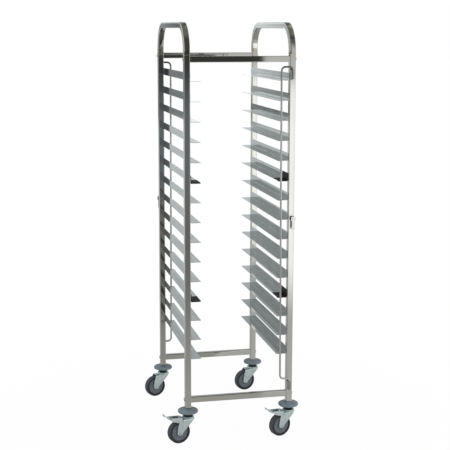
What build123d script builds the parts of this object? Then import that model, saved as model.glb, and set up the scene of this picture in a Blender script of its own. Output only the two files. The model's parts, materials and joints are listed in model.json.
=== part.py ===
from build123d import *
import os
from math import cos, radians, sin

# Sheet pan rack: a welded stainless trolley for 600 x 400 mm sheet pans, on four swivel casters.
# Frame: origin on the floor midway between the four uprights, +X to the right-hand side,
# +Y to the rear, +Z up.  All sizes are millimetres.

# ---------------------------------------------------------------- frame
rack_width = 460.0             # over the outer faces of the uprights
rack_depth = 660.0             # over the front and rear faces of the uprights
rack_height = 1735.0           # floor to the top of the handles
tube = 25.0                    # square tube of the uprights and handles
tube_wall = 1.5
tube_corner = 2.5              # outside corner radius of the tube
handle_bend = 105.0            # centreline radius of the handle's two bends
handle_leg = 12.0              # straight stretch of the handle under each bend
crossbar_height = 25.0
crossbar_depth = 20.0
crossbar_drop = 17.0           # from the uprights' tops to the upper crossbars' centres
crossbar_rise = 40.0           # from the uprights' feet to the lower crossbars' centres

# ---------------------------------------------------------------- crossbar bolts
bolt_radius = 4.0
bolt_head_radius = 8.0
bolt_head_height = 4.0
bolt_head_rim = 0.5            # straight edge under the dome of the head
bolt_clearance = 0.25
thread_clearance = 0.05
plug_length = 22.0             # threaded plug in each crossbar end
plug_clearance = 0.2
bolt_thread_length = 18.0      # how far the bolt enters the plug

# ---------------------------------------------------------------- pan levels
level_count = 15
top_level_drop = 86.0          # from the upper crossbars' centres to the highest runners
bottom_level_rise = 175.5      # from the lower crossbars' centres to the lowest runners
runner_flange = 43.0           # width of the face that carries the pan
runner_wall = 32.0             # height of the wall that guides the pan's side
runner_sheet = 1.2
runner_bend = 1.5              # inside radius of the fold
runner_setback = 6.0           # from the uprights' outer faces to the runner's ends
clip_levels = (6, 12)          # levels with black end clips
clip_length = 80.0
clip_sheet = 2.0
clip_return = 18.0             # tongue of the clip under the runner
clip_edge_gap = 1.5            # steel left bare beside the clip

# ---------------------------------------------------------------- retainer bars and catches
rod_radius = 4.0
rod_top_rise = 54.5            # from the highest runners to the upper arm's centreline
rod_bottom_rise = 70.0         # from the lower crossbars' centres to the lower arm's centreline
rod_reach = 40.0               # from the hinge line to the upright run of the bar
rod_bend = 10.0                # centreline radius of the bar's bends
rod_tail = 4.0                 # end of the bar that shows under its sleeve
rod_running_clearance = 0.08
sleeve_radius = 8.0
sleeve_length = 36.0
sleeve_drop = 12.0             # from the arm's centreline to the sleeve's top
sleeve_weld_gap = 1.0          # web between the sleeve's round and the upright
hinge_inset = 16.0             # hinge line to the upright's outer face, across the rack
catch_z = 936.0                # pivot height of the catch levers
catch_inset = 7.0              # pivot to the upright's outer face, across the rack
catch_plate_width = 22.0
catch_plate_height = 55.0
catch_plate_sheet = 2.0
catch_plate_rise = 16.0        # plate's top above the pivot
catch_plate_margin = 1.0       # from the plate's edge to the upright's outer face
catch_boss_radius = 6.0
catch_pin_radius = 2.5
catch_pin_clearance = 0.06
catch_pin_head_radius = 4.5
catch_pin_head = 1.5
lever_sheet = 2.5
lever_head_width = 19.0
lever_head_height = 17.0
lever_tail_width = 12.0
lever_reach = 46.0             # pivot to the lever's free end
lever_hole_radius = 2.5
lever_hole_margin = 5.0
lever_rod_gap = 1.2            # between the closed bar and the lever in front of it

# ---------------------------------------------------------------- casters
wheel_radius = 47.5
tyre_width = 27.0
tyre_edge = 4.0                # rounding of the tread's shoulders
hub_radius = 33.0
hub_rim_width = 25.0
hub_rim_thickness = 5.0
hub_web_width = 21.0
hub_boss_radius = 9.0
hub_side_play = 0.5
tyre_groove_width = 3.0
tyre_groove_depth = 2.0
axle_radius = 4.0
axle_running_clearance = 0.05
axle_head_radius = 6.0
axle_head_height = 2.5
axle_nut_height = 5.0
axle_nut_across = 13.0
caster_trail = 43.0            # swivel axis to axle
fork_gap = 32.0                # between the fork's legs
fork_sheet = 2.5
fork_foot_radius = 12.0
fork_front = 24.0              # crown's reach ahead of the swivel axis
fork_back = 40.0               # crown's reach behind the swivel axis
crown_gap = 6.5                # between the tyre and the crown
race_radius = 26.0
race_height = 8.7
kingpin_radius = 6.0
kingpin_running_clearance = 0.05
kingpin_head_radius = 10.0
kingpin_head_height = 5.0
swivel_gap = 0.3               # between faces that turn on each other
dust_cap_radius = 19.0
dust_cap_height = 11.0
bumper_radius = 42.5
bumper_height = 18.0
bumper_rounding = 8.0
bumper_bore_clearance = 0.1
stem_plug_length = 24.0        # square plug inside the upright
swivel_angles = {"front_left": 15.0, "front_right": 19.0, "rear_left": 17.0, "rear_right": 13.0}

# ---------------------------------------------------------------- brake pedals
braked_casters = ("front_left", "front_right")
pedal_sheet = 1.5
pedal_side_gap = 0.7           # between the fork's leg and the pedal's cheek
pedal_pivot_back = 30.0        # swivel axis to pedal pivot
pedal_pivot_drop = 4.5         # from the crown's underside to the pedal's pivot
pedal_pivot_radius = 3.0
pedal_pivot_clearance = 0.05
pedal_race_gap = 1.5           # between the hood and the ball race
pedal_hood_past_axle = 49.0    # the hood's reach behind the axle
pedal_hood_rise = 8.0          # from the crown's top to the hood's top
pedal_cheek_height = 22.0
pedal_cheek_back_height = 6.0
pedal_tip_length = 21.0
pedal_tip_rise = 13.0
pedal_tip_width = 26.0
pedal_tip_lap = 2.0            # where the tip runs into the hood
shoe_past_axle = 9.0           # from the axle to the brake shoe's near end
shoe_length = 16.0
shoe_width = 20.0
shoe_gap = 2.8                 # the shoe's underside above the height of the tyre's top

# ---------------------------------------------------------------- derived places
upright_x = (rack_width - tube) / 2
upright_y = (rack_depth - tube) / 2
inner_x = rack_width / 2 - tube
face_y = rack_depth / 2
handle_line_z = rack_height - tube / 2
bend_start_z = handle_line_z - handle_bend
upright_top_z = bend_start_z - handle_leg
wheel_top_z = 2 * wheel_radius
crown_bottom_z = wheel_top_z + crown_gap
crown_top_z = crown_bottom_z + fork_sheet
race_top_z = crown_top_z + race_height
dust_cap_bottom_z = race_top_z + swivel_gap
bumper_bottom_z = dust_cap_bottom_z + dust_cap_height
upright_bottom_z = bumper_bottom_z + bumper_height
top_crossbar_z = upright_top_z - crossbar_drop
bottom_crossbar_z = upright_bottom_z + crossbar_rise
top_level_z = top_crossbar_z - top_level_drop
bottom_level_z = bottom_crossbar_z + bottom_level_rise
level_pitch = (top_level_z - bottom_level_z) / (level_count - 1)
level_heights = [top_level_z - n * level_pitch for n in range(level_count)]
runner_end_y = face_y - runner_setback
rod_top_z = top_level_z + rod_top_rise
rod_bottom_z = bottom_crossbar_z + rod_bottom_rise
hinge_x = rack_width / 2 - hinge_inset
hinge_y = face_y + sleeve_radius + sleeve_weld_gap
lever_back_y = hinge_y + rod_radius + lever_rod_gap
catch_x = rack_width / 2 - catch_inset
pedal_pivot_z = crown_bottom_z - pedal_pivot_drop
pedal_top_z = crown_top_z + pedal_hood_rise
pedal_cheek_bottom_z = pedal_top_z - pedal_cheek_height
pedal_hood_front = race_radius + pedal_race_gap
pedal_hood_back = caster_trail + pedal_hood_past_axle
pedal_tip_back = pedal_hood_back + pedal_tip_length
pedal_tip_z = pedal_top_z + pedal_tip_rise
shoe_front = caster_trail + shoe_past_axle
shoe_back = shoe_front + shoe_length
shoe_bottom_z = wheel_top_z + shoe_gap
corners = {
    "front_left": (-upright_x, -upright_y),
    "front_right": (upright_x, -upright_y),
    "rear_left": (-upright_x, upright_y),
    "rear_right": (upright_x, upright_y),
}
cut_margin = 1.0               # how far a cutting tool runs past the piece

os.makedirs("parts", exist_ok=True)


def save(node, shape):
    """Write one node's solids to its STEP file."""
    export_step(shape, f"parts/{node}.step")


def group(shapes):
    """Several separate solids that belong to one node."""
    return Compound(children=list(shapes))


def block(x_range, y_range, z_range):
    """A box between three pairs of limits."""
    size = [high - low for low, high in (x_range, y_range, z_range)]
    middle = [(high + low) / 2 for low, high in (x_range, y_range, z_range)]
    return Pos(*middle) * Box(*size)


def rod_between(radius, start, end):
    """A round bar from one point to another."""
    line = Vector(*end) - Vector(*start)
    return extrude(Plane(origin=start, z_dir=line) * Circle(radius), amount=line.length)


def tube_section(width, depth):
    """The hollow section of a square or rectangular tube with rounded corners."""
    outer = RectangleRounded(width, depth, tube_corner)
    inner = RectangleRounded(width - 2 * tube_wall, depth - 2 * tube_wall, tube_corner - tube_wall)
    return outer - inner


# ---------------------------------------------------------------- frame pieces
def upright(x, y):
    """One upright with its two pairs of bolt holes for the crossbars."""
    foot = Pos(x, y, upright_bottom_z) * tube_section(tube, tube)
    body = extrude(foot, amount=upright_top_z - upright_bottom_z)
    for z in (top_crossbar_z, bottom_crossbar_z):
        body -= rod_between(bolt_radius + bolt_clearance, (x - tube, y, z), (x + tube, y, z))
    return body


def handle(x):
    """The push handle: a tube bent to an arch that joins one side's two uprights."""
    route = FilletPolyline(
        (x, -upright_y, upright_top_z),
        (x, -upright_y, handle_line_z),
        (x, upright_y, handle_line_z),
        (x, upright_y, upright_top_z),
        radius=handle_bend,
    )
    start = Plane(origin=route @ 0, x_dir=(1, 0, 0), z_dir=route % 0)
    outside = sweep(start * RectangleRounded(tube, tube, tube_corner), path=route)
    bore = tube - 2 * tube_wall
    inside = sweep(start * RectangleRounded(bore, bore, tube_corner - tube_wall), path=route)
    return outside - inside


def crossbar(y, z):
    """A crossbar from inner face to inner face of two uprights."""
    section = Plane(origin=(-inner_x, y, z), x_dir=(0, 1, 0), z_dir=(1, 0, 0))
    return extrude(section * tube_section(crossbar_depth, crossbar_height), amount=2 * inner_x)


def crossbar_ends():
    """Every place where a crossbar meets an upright: side, y and z."""
    return [
        (side, y, z)
        for z in (top_crossbar_z, bottom_crossbar_z)
        for y in (-upright_y, upright_y)
        for side in (-1, 1)
    ]


def crossbar_bolt(side, y, z):
    """A domed bolt through an upright into the crossbar's threaded plug."""
    outer = side * rack_width / 2
    tip = side * (inner_x - bolt_thread_length)
    shank = rod_between(bolt_radius, (outer, y, z), (tip, y, z))
    head = rod_between(bolt_head_radius, (outer, y, z), (outer + side * bolt_head_height, y, z))
    rim = head.edges().filter_by(GeomType.CIRCLE).sort_by(Axis.X)[-1 if side > 0 else 0]
    return shank + fillet(rim, bolt_head_height - bolt_head_rim)


def crossbar_plug(side, y, z):
    """The threaded plug in one end of a crossbar."""
    width = crossbar_depth - 2 * (tube_wall + plug_clearance)
    height = crossbar_height - 2 * (tube_wall + plug_clearance)
    near, far = sorted((side * (inner_x - plug_length), side * inner_x))
    section = Plane(origin=(near, y, z), x_dir=(0, 1, 0), z_dir=(1, 0, 0))
    outline = RectangleRounded(width, height, tube_corner - tube_wall)
    body = extrude(section * outline, amount=plug_length)
    start = (near - cut_margin, y, z)
    end = (far + cut_margin, y, z)
    return body - rod_between(bolt_radius + thread_clearance, start, end)


# ---------------------------------------------------------------- pan levels
def left_runner(z):
    """An angle runner on the left side: a wall against the uprights and a flange under the pan."""
    wall_x = -inner_x
    outline = Polyline(
        (wall_x, z - runner_sheet),
        (wall_x + runner_flange, z - runner_sheet),
        (wall_x + runner_flange, z),
        (wall_x + runner_sheet, z),
        (wall_x + runner_sheet, z - runner_sheet + runner_wall),
        (wall_x, z - runner_sheet + runner_wall),
        close=True,
    )
    face = make_face(outline)
    inside = face.vertices().sort_by_distance((wall_x + runner_sheet, z, 0))[0]
    face = fillet(inside, runner_bend)
    outside = face.vertices().sort_by_distance((wall_x, z - runner_sheet, 0))[0]
    face = fillet(outside, runner_bend + runner_sheet)
    return extrude(Plane.XZ.offset(-runner_end_y) * face, amount=2 * runner_end_y)


def left_clip(z):
    """A black clip pushed over the front end of a left runner."""
    wall_x = -inner_x + runner_sheet
    edge_x = -inner_x + runner_flange - clip_edge_gap
    top_z = z - runner_sheet + runner_wall - clip_edge_gap
    under_z = z - runner_sheet - clip_sheet
    front_y = -runner_end_y - clip_sheet
    tread = block((wall_x, edge_x), (front_y, -runner_end_y + clip_length), (z, z + clip_sheet))
    liner = block((wall_x, wall_x + clip_sheet), (front_y, -runner_end_y + clip_length), (z, top_z))
    nose = block((wall_x + runner_bend, edge_x), (front_y, -runner_end_y), (under_z, z + clip_sheet))
    tongue_end = -runner_end_y + clip_return
    tongue = block((wall_x + runner_bend, edge_x), (front_y, tongue_end), (under_z, under_z + clip_sheet))
    fold = extrude(
        Plane.XZ.offset(-front_y) * Pos(wall_x, z) * Circle(runner_bend),
        amount=-(clip_length + clip_sheet),
    )
    return tread + liner + nose + tongue - fold


def mirrored(shape):
    """The same piece on the right-hand side."""
    return mirror(shape, about=Plane.YZ)


# ---------------------------------------------------------------- retainer bars
def turned(shape):
    """The same piece at the diagonally opposite corner."""
    return Rot(0, 0, 180) * shape


def retainer_bar():
    """The front bar: a long C whose two ends turn down into the sleeves."""
    bar_x = hinge_x - rod_reach
    end_drop = sleeve_drop + sleeve_length + rod_tail
    route = FilletPolyline(
        (hinge_x, -hinge_y, rod_top_z - end_drop),
        (hinge_x, -hinge_y, rod_top_z),
        (bar_x, -hinge_y, rod_top_z),
        (bar_x, -hinge_y, rod_bottom_z),
        (hinge_x, -hinge_y, rod_bottom_z),
        (hinge_x, -hinge_y, rod_bottom_z - end_drop),
        radius=rod_bend,
    )
    start = Plane(origin=route @ 0, z_dir=route % 0)
    return sweep(start * Circle(rod_radius), path=route)


def retainer_sleeve(arm_z):
    """A hinge sleeve welded to the front face of the front right upright."""
    top = arm_z - sleeve_drop
    bottom = top - sleeve_length
    bore_radius = rod_radius + rod_running_clearance
    barrel = rod_between(sleeve_radius, (hinge_x, -hinge_y, bottom), (hinge_x, -hinge_y, top))
    web_sides = (hinge_x - sleeve_radius, hinge_x + sleeve_radius)
    web = block(web_sides, (-hinge_y, -face_y), (bottom, top))
    bore_start = (hinge_x, -hinge_y, bottom - cut_margin)
    bore_end = (hinge_x, -hinge_y, top + cut_margin)
    return barrel + web - rod_between(bore_radius, bore_start, bore_end)


def catch_bracket():
    """The catch's plate, boss and headed pivot pin on the front right upright."""
    plate_edge = rack_width / 2 - catch_plate_margin
    plate = block(
        (plate_edge - catch_plate_width, plate_edge),
        (-face_y - catch_plate_sheet, -face_y),
        (catch_z + catch_plate_rise - catch_plate_height, catch_z + catch_plate_rise),
    )
    boss_end = -lever_back_y + swivel_gap
    head_start = -lever_back_y - lever_sheet - swivel_gap
    head_end = head_start - catch_pin_head
    foot = (catch_x, -face_y, catch_z)
    boss = rod_between(catch_boss_radius, foot, (catch_x, boss_end, catch_z))
    pin = rod_between(catch_pin_radius, foot, (catch_x, head_end, catch_z))
    head = rod_between(catch_pin_head_radius, (catch_x, head_start, catch_z), (catch_x, head_end, catch_z))
    return plate + boss + pin + head


def catch_lever():
    """The hanging catch lever: a square head on the pivot and a narrow tail with a hole."""
    head = RectangleRounded(lever_head_width, lever_head_height, lever_hole_radius)
    tail = Pos(0, -lever_reach / 2) * RectangleRounded(lever_tail_width, lever_reach, lever_hole_radius)
    pivot_hole = Circle(catch_pin_radius + catch_pin_clearance)
    end_hole = Pos(0, lever_hole_margin - lever_reach) * Circle(lever_hole_radius)
    face = head + tail - pivot_hole - end_hole
    plane = Plane(origin=(catch_x, -lever_back_y, catch_z), x_dir=(1, 0, 0), z_dir=(0, -1, 0))
    return extrude(plane * face, amount=lever_sheet)


# ---------------------------------------------------------------- caster pieces, swivel axis at x = y = 0
def caster_stem():
    """The kingpin, its head under the crown and the square plug that fills the upright's end."""
    head_top = crown_bottom_z - swivel_gap
    head_bottom = head_top - kingpin_head_height
    plug_top = upright_bottom_z + stem_plug_length
    pin = rod_between(kingpin_radius, (0, 0, head_bottom), (0, 0, plug_top))
    head = rod_between(kingpin_head_radius, (0, 0, head_bottom), (0, 0, head_top))
    side = tube - 2 * (tube_wall + plug_clearance)
    outline = Pos(0, 0, upright_bottom_z) * RectangleRounded(side, side, tube_corner - tube_wall)
    return pin + head + extrude(outline, amount=stem_plug_length)


def dust_cap():
    """The black collar between the swivel head and the bumper."""
    body = rod_between(dust_cap_radius, (0, 0, dust_cap_bottom_z), (0, 0, bumper_bottom_z))
    return body - rod_between(kingpin_radius + bumper_bore_clearance, (0, 0, 0), (0, 0, rack_height))


def bumper():
    """The round wall bumper under the upright."""
    body = rod_between(bumper_radius, (0, 0, bumper_bottom_z), (0, 0, upright_bottom_z))
    body = fillet(body.edges().filter_by(GeomType.CIRCLE), bumper_rounding)
    return body - rod_between(kingpin_radius + bumper_bore_clearance, (0, 0, 0), (0, 0, rack_height))


def fork(braked):
    """The pressed fork: crown, ball race and two legs, with holes for the axle and the pedal."""
    half = fork_gap / 2 + fork_sheet
    crown = block((-fork_back, 0), (-half, half), (crown_bottom_z, crown_top_z))
    crown += rod_between(race_radius, (0, 0, crown_bottom_z), (0, 0, race_top_z))
    leg_outline = make_face(
        Polyline(
            (fork_front, crown_top_z),
            (-fork_back, crown_top_z),
            (-caster_trail - fork_foot_radius, wheel_radius),
            (-caster_trail + fork_foot_radius, wheel_radius),
            (fork_front, crown_bottom_z),
            close=True,
        )
    )
    leg_outline += Pos(-caster_trail, wheel_radius) * Circle(fork_foot_radius)
    body = crown
    for y in (-half, fork_gap / 2):
        plane = Plane(origin=(0, y, 0), x_dir=(1, 0, 0), z_dir=(0, -1, 0))
        body += extrude(plane * leg_outline, amount=-fork_sheet)
    body -= rod_between(kingpin_radius + kingpin_running_clearance, (0, 0, 0), (0, 0, rack_height))
    body -= across_fork(axle_radius + axle_running_clearance, -caster_trail, wheel_radius)
    if braked:
        body -= across_fork(pedal_pivot_radius + pedal_pivot_clearance, -pedal_pivot_back, pedal_pivot_z)
    return body


def across_fork(radius, x, z):
    """A round tool across both legs of the fork."""
    return rod_between(radius, (x, -fork_gap, z), (x, fork_gap, z))


def axle():
    """The wheel's axle bolt with a low head and a hexagon nut outside the legs."""
    half = fork_gap / 2 + fork_sheet
    x, z = -caster_trail, wheel_radius
    shank = rod_between(axle_radius, (x, -half, z), (x, half + axle_nut_height, z))
    head = rod_between(axle_head_radius, (x, -half - axle_head_height, z), (x, -half, z))
    nut_plane = Plane(origin=(x, half, z), z_dir=(0, 1, 0))
    hexagon = RegularPolygon(axle_nut_across / 2, 6, major_radius=False)
    return shank + head + extrude(nut_plane * hexagon, amount=axle_nut_height)


def wheel_plane():
    """The plane through the wheel's axle in which its half section is drawn."""
    return Plane(origin=(-caster_trail, 0, wheel_radius), x_dir=(0, 0, 1), z_dir=(1, 0, 0))


def spun(outline):
    """Turn a half section, drawn as radius and width, about the wheel's axle."""
    axis = Axis((-caster_trail, 0, wheel_radius), (0, 1, 0))
    return revolve(wheel_plane() * outline, axis=axis)


def half_section(points):
    """A closed outline of radius and half-width pairs, mirrored about the wheel's middle."""
    mirrored_points = [(radius, -half_width) for radius, half_width in reversed(points)]
    return make_face(Polyline(*points, *mirrored_points, close=True))


def wheel_hub():
    """The hub: bored boss, recessed web and rim."""
    bore = axle_radius + axle_running_clearance
    boss_half = fork_gap / 2 - hub_side_play
    rim_inner = hub_radius - hub_rim_thickness
    return spun(
        half_section(
            [
                (bore, boss_half),
                (hub_boss_radius, boss_half),
                (hub_boss_radius, hub_web_width / 2),
                (rim_inner, hub_web_width / 2),
                (rim_inner, hub_rim_width / 2),
                (hub_radius, hub_rim_width / 2),
            ]
        )
    )


def tyre():
    """The tyre: a ring with rounded shoulders and a groove beside the hub."""
    half = tyre_width / 2
    ring = spun(half_section([(hub_radius, half), (wheel_radius, half)]))
    circles = ring.edges().filter_by(GeomType.CIRCLE)
    shoulders = circles.filter_by(lambda edge: edge.radius > hub_radius + tyre_edge)
    ring = fillet(shoulders, tyre_edge)
    sunk = half - tyre_groove_depth
    proud = half + cut_margin
    for low, high in ((sunk, proud), (-proud, -sunk)):
        groove = make_face(
            Polyline(
                (hub_radius - cut_margin, low),
                (hub_radius + tyre_groove_width, low),
                (hub_radius + tyre_groove_width, high),
                (hub_radius - cut_margin, high),
                close=True,
            )
        )
        ring -= spun(groove)
    return ring


def brake_pedal():
    """The brake pedal: a hooded lever over the wheel, its turned-up tip, pivots and brake shoe."""
    cheek_inner = fork_gap / 2 + fork_sheet + pedal_side_gap
    cheek_outer = cheek_inner + pedal_sheet
    cheek = make_face(
        Polyline(
            (-pedal_hood_front, pedal_cheek_bottom_z),
            (-pedal_hood_front, pedal_top_z),
            (-pedal_hood_back, pedal_top_z),
            (-pedal_hood_back, pedal_top_z - pedal_cheek_back_height),
            (-fork_back, pedal_cheek_bottom_z),
            close=True,
        )
    )
    body = block(
        (-pedal_hood_back, -pedal_hood_front),
        (-cheek_outer, cheek_outer),
        (pedal_top_z - pedal_sheet, pedal_top_z),
    )
    for y in (cheek_inner, -cheek_outer):
        plane = Plane(origin=(0, y, 0), x_dir=(1, 0, 0), z_dir=(0, -1, 0))
        body += extrude(plane * cheek, amount=-pedal_sheet)
    tip = make_face(
        Polyline(
            (-pedal_hood_back + pedal_tip_lap, pedal_top_z - pedal_sheet),
            (-pedal_hood_back + pedal_tip_lap, pedal_top_z),
            (-pedal_hood_back, pedal_top_z),
            (-pedal_tip_back, pedal_tip_z),
            (-pedal_tip_back, pedal_tip_z - 2 * pedal_sheet),
            (-pedal_hood_back, pedal_top_z - pedal_sheet),
            close=True,
        )
    )
    tip_plane = Plane(origin=(0, pedal_tip_width / 2, 0), x_dir=(1, 0, 0), z_dir=(0, -1, 0))
    body += extrude(tip_plane * tip, amount=pedal_tip_width)
    body += block((-shoe_back, -shoe_front), (-shoe_width / 2, shoe_width / 2), (shoe_bottom_z, pedal_top_z))
    for side in (-1, 1):
        body += rod_between(
            pedal_pivot_radius,
            (-pedal_pivot_back, side * fork_gap / 2, pedal_pivot_z),
            (-pedal_pivot_back, side * cheek_outer, pedal_pivot_z),
        )
    return body


# ---------------------------------------------------------------- write the frame
for corner, (x, y) in corners.items():
    save(f"{corner}_upright", upright(x, y))
for side, x in (("left", -upright_x), ("right", upright_x)):
    save(f"{side}_handle", handle(x))
for tier, z in (("top", top_crossbar_z), ("bottom", bottom_crossbar_z)):
    for end, y in (("front", -upright_y), ("rear", upright_y)):
        save(f"{tier}_{end}_crossbar", crossbar(y, z))
save("crossbar_bolts", group(crossbar_bolt(*place) for place in crossbar_ends()))
save("crossbar_plugs", group(crossbar_plug(*place) for place in crossbar_ends()))

# ---------------------------------------------------------------- write the pan levels
for number, z in enumerate(level_heights, start=1):
    runner = left_runner(z)
    save(f"level_{number:02d}_runners", group((runner, mirrored(runner))))
clips = [left_clip(level_heights[number - 1]) for number in clip_levels]
save("runner_end_clips", group(clips + [mirrored(clip) for clip in clips]))

# ---------------------------------------------------------------- write the retainers and catches
save("front_retainer_bar", retainer_bar())
save("rear_retainer_bar", turned(retainer_bar()))
sleeves = [retainer_sleeve(rod_top_z), retainer_sleeve(rod_bottom_z)]
save("retainer_sleeves", group(sleeves + [turned(sleeve) for sleeve in sleeves]))
save("catch_brackets", group((catch_bracket(), turned(catch_bracket()))))
save("front_catch_lever", catch_lever())
save("rear_catch_lever", turned(catch_lever()))

# ---------------------------------------------------------------- write the casters
save("caster_stems", group(Pos(x, y, 0) * caster_stem() for x, y in corners.values()))
save("caster_dust_caps", group(Pos(x, y, 0) * dust_cap() for x, y in corners.values()))
for corner, (x, y) in corners.items():
    place = Pos(x, y, 0) * Rot(0, 0, swivel_angles[corner])
    save(f"{corner}_bumper", Pos(x, y, 0) * bumper())
    save(f"{corner}_fork", place * fork(corner in braked_casters))
    save(f"{corner}_axle", place * axle())
    save(f"{corner}_wheel_hub", place * wheel_hub())
    save(f"{corner}_tyre", place * tyre())
    if corner in braked_casters:
        save(f"{corner}_brake_pedal", place * brake_pedal())

print("level pitch", round(level_pitch, 2), "upright length", round(upright_top_z - upright_bottom_z, 1))
for corner, (x, y) in corners.items():
    angle = radians(swivel_angles[corner])
    axle_x = x - caster_trail * cos(angle)
    axle_y = y - caster_trail * sin(angle)
    print(corner, "axle at", round(axle_x, 2), round(axle_y, 2), "height", wheel_radius)
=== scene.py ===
"""Looks of the sheet pan rack: its steel, castors, bumpers, welds and studio, around the fixed frame.

Everything is in metres, in the frame's own axes: X to the right, Y to the rear, Z up, floor at zero.
"""

import json
from math import cos, pi, radians, sin

import bmesh
import bpy
import numpy as np
from bpy.props import FloatProperty, FloatVectorProperty, IntProperty, PointerProperty
from bpy.types import Operator, Panel, PropertyGroup
from mathutils import Matrix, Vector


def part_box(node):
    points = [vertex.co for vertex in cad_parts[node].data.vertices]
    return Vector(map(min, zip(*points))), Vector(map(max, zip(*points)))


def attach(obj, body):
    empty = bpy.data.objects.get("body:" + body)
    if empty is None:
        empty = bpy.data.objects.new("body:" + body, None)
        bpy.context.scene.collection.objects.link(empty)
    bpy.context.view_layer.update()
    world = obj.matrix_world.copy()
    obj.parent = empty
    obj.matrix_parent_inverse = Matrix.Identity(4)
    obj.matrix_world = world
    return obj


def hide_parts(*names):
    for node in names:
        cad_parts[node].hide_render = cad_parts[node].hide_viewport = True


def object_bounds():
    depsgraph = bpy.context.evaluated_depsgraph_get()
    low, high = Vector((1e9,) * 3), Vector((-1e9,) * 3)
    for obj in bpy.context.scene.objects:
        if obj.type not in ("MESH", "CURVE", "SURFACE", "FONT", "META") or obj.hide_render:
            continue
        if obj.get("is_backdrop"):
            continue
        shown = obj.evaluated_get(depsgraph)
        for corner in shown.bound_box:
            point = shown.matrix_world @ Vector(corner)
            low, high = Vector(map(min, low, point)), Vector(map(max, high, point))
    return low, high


bl_info = {
    "name": "Sheet Pan Rack Looks",
    "version": (1, 0, 0),
    "blender": (4, 5, 0),
    "location": "3D View > Sidebar > Pan Rack",
    "description": "Builds the finished surfaces of a stainless sheet pan rack",
    "category": "Object",
}

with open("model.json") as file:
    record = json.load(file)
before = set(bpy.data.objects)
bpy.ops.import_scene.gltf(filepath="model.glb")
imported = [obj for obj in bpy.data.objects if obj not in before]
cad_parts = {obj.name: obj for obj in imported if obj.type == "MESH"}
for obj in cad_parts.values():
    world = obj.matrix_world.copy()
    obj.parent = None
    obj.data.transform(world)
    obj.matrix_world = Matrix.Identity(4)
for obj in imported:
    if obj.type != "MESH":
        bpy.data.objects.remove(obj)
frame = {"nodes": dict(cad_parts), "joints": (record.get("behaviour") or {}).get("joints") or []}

CORNERS = ("front_left", "front_right", "rear_left", "rear_right")
BRAKED = ("front_left", "front_right")
LEVELS = 15


# ---------------------------------------------------------------- sizes and colours a user may change
def length(name, description, default):
    """A length property in metres."""
    settings = {"default": default, "min": 0.0, "unit": "LENGTH", "precision": 5}
    return FloatProperty(name=name, description=description, **settings)


def colour(name, description, default):
    """A linear colour property."""
    settings = {"default": default, "min": 0.0, "max": 1.0, "size": 3, "subtype": "COLOR"}
    return FloatVectorProperty(name=name, description=description, **settings)


class RackSizes(PropertyGroup):
    """Sizes of the finished surfaces that the frame's boxes don't give."""

    tube_corner: length("Tube corner", "Outside corner radius of the square tube", 0.0025)
    handle_bend: length("Handle bend", "Centreline radius of the handle's bends", 0.105)
    bar_bend: length("Retainer bend", "Centreline radius of the bends at the ends of the upright run", 0.0165)
    bar_end_bend: length("Retainer end bend", "Centreline radius of the bends down into the sleeves", 0.013)
    bar_reach: length("Retainer reach", "Hinge line to the upright run of the bar", 0.040)
    bar_lean: length("Retainer lean", "How far the bar's upright run leans inwards at its top", 0.006)
    arm_drop: length("Retainer arm drop", "Centreline of the arm to the bar's lower end", 0.052)
    weld_width: length("Weld width", "Width of the dressed weld round a handle joint", 0.0032)
    weld_height: length("Weld height", "How far a dressed weld stands proud", 0.0004)
    spot_radius: length("Spot weld radius", "Radius of the spot marks on the runner walls", 0.003)
    bolt_socket: length("Bolt socket", "Width across the flats of the socket in the domed bolts", 0.005)
    fork_sheet: length("Fork sheet", "Thickness of the pressed fork", 0.0025)
    fork_bend: length("Fork bend", "Bend radius between the fork's crown and legs", 0.0055)
    pedal_sheet: length("Pedal sheet", "Thickness of the pressed brake pedal", 0.0015)
    tyre_shoulder: length("Tyre shoulder", "Rounding of the tread's shoulders", 0.004)


class RackFinishes(PropertyGroup):
    """Colours of the rack's materials."""

    tube: colour("Tube steel", "Polished stainless tube", (0.60, 0.60, 0.585))
    sheet: colour("Sheet steel", "Bright stainless sheet of the runners", (0.505, 0.525, 0.52))
    rod: colour("Rod steel", "Drawn stainless rod", (0.54, 0.53, 0.52))
    bolt: colour("Bolt steel", "Bolts, pins and catches", (0.56, 0.57, 0.57))
    zinc: colour("Zinc", "Zinc plated castor steel", (0.67, 0.77, 0.79))
    clip: colour("Clip plastic", "Black plastic of clips and dust caps", (0.008, 0.008, 0.009))
    bumper: colour("Bumper plastic", "Blue grey plastic of the bumpers", (0.208, 0.264, 0.308))
    hub: colour("Hub plastic", "Grey plastic of the wheel hubs", (0.145, 0.163, 0.200))
    tyre: colour("Tyre rubber", "Dark grey rubber of the tyres' side walls", (0.026, 0.029, 0.034))
    # The tread's lighter grey is part wear and part painted sheen, the light the tread catches put into its
    # colour.
    tread: colour("Tyre tread", "Greyed rubber of the tyres' treads", (0.078, 0.086, 0.094))


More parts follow.
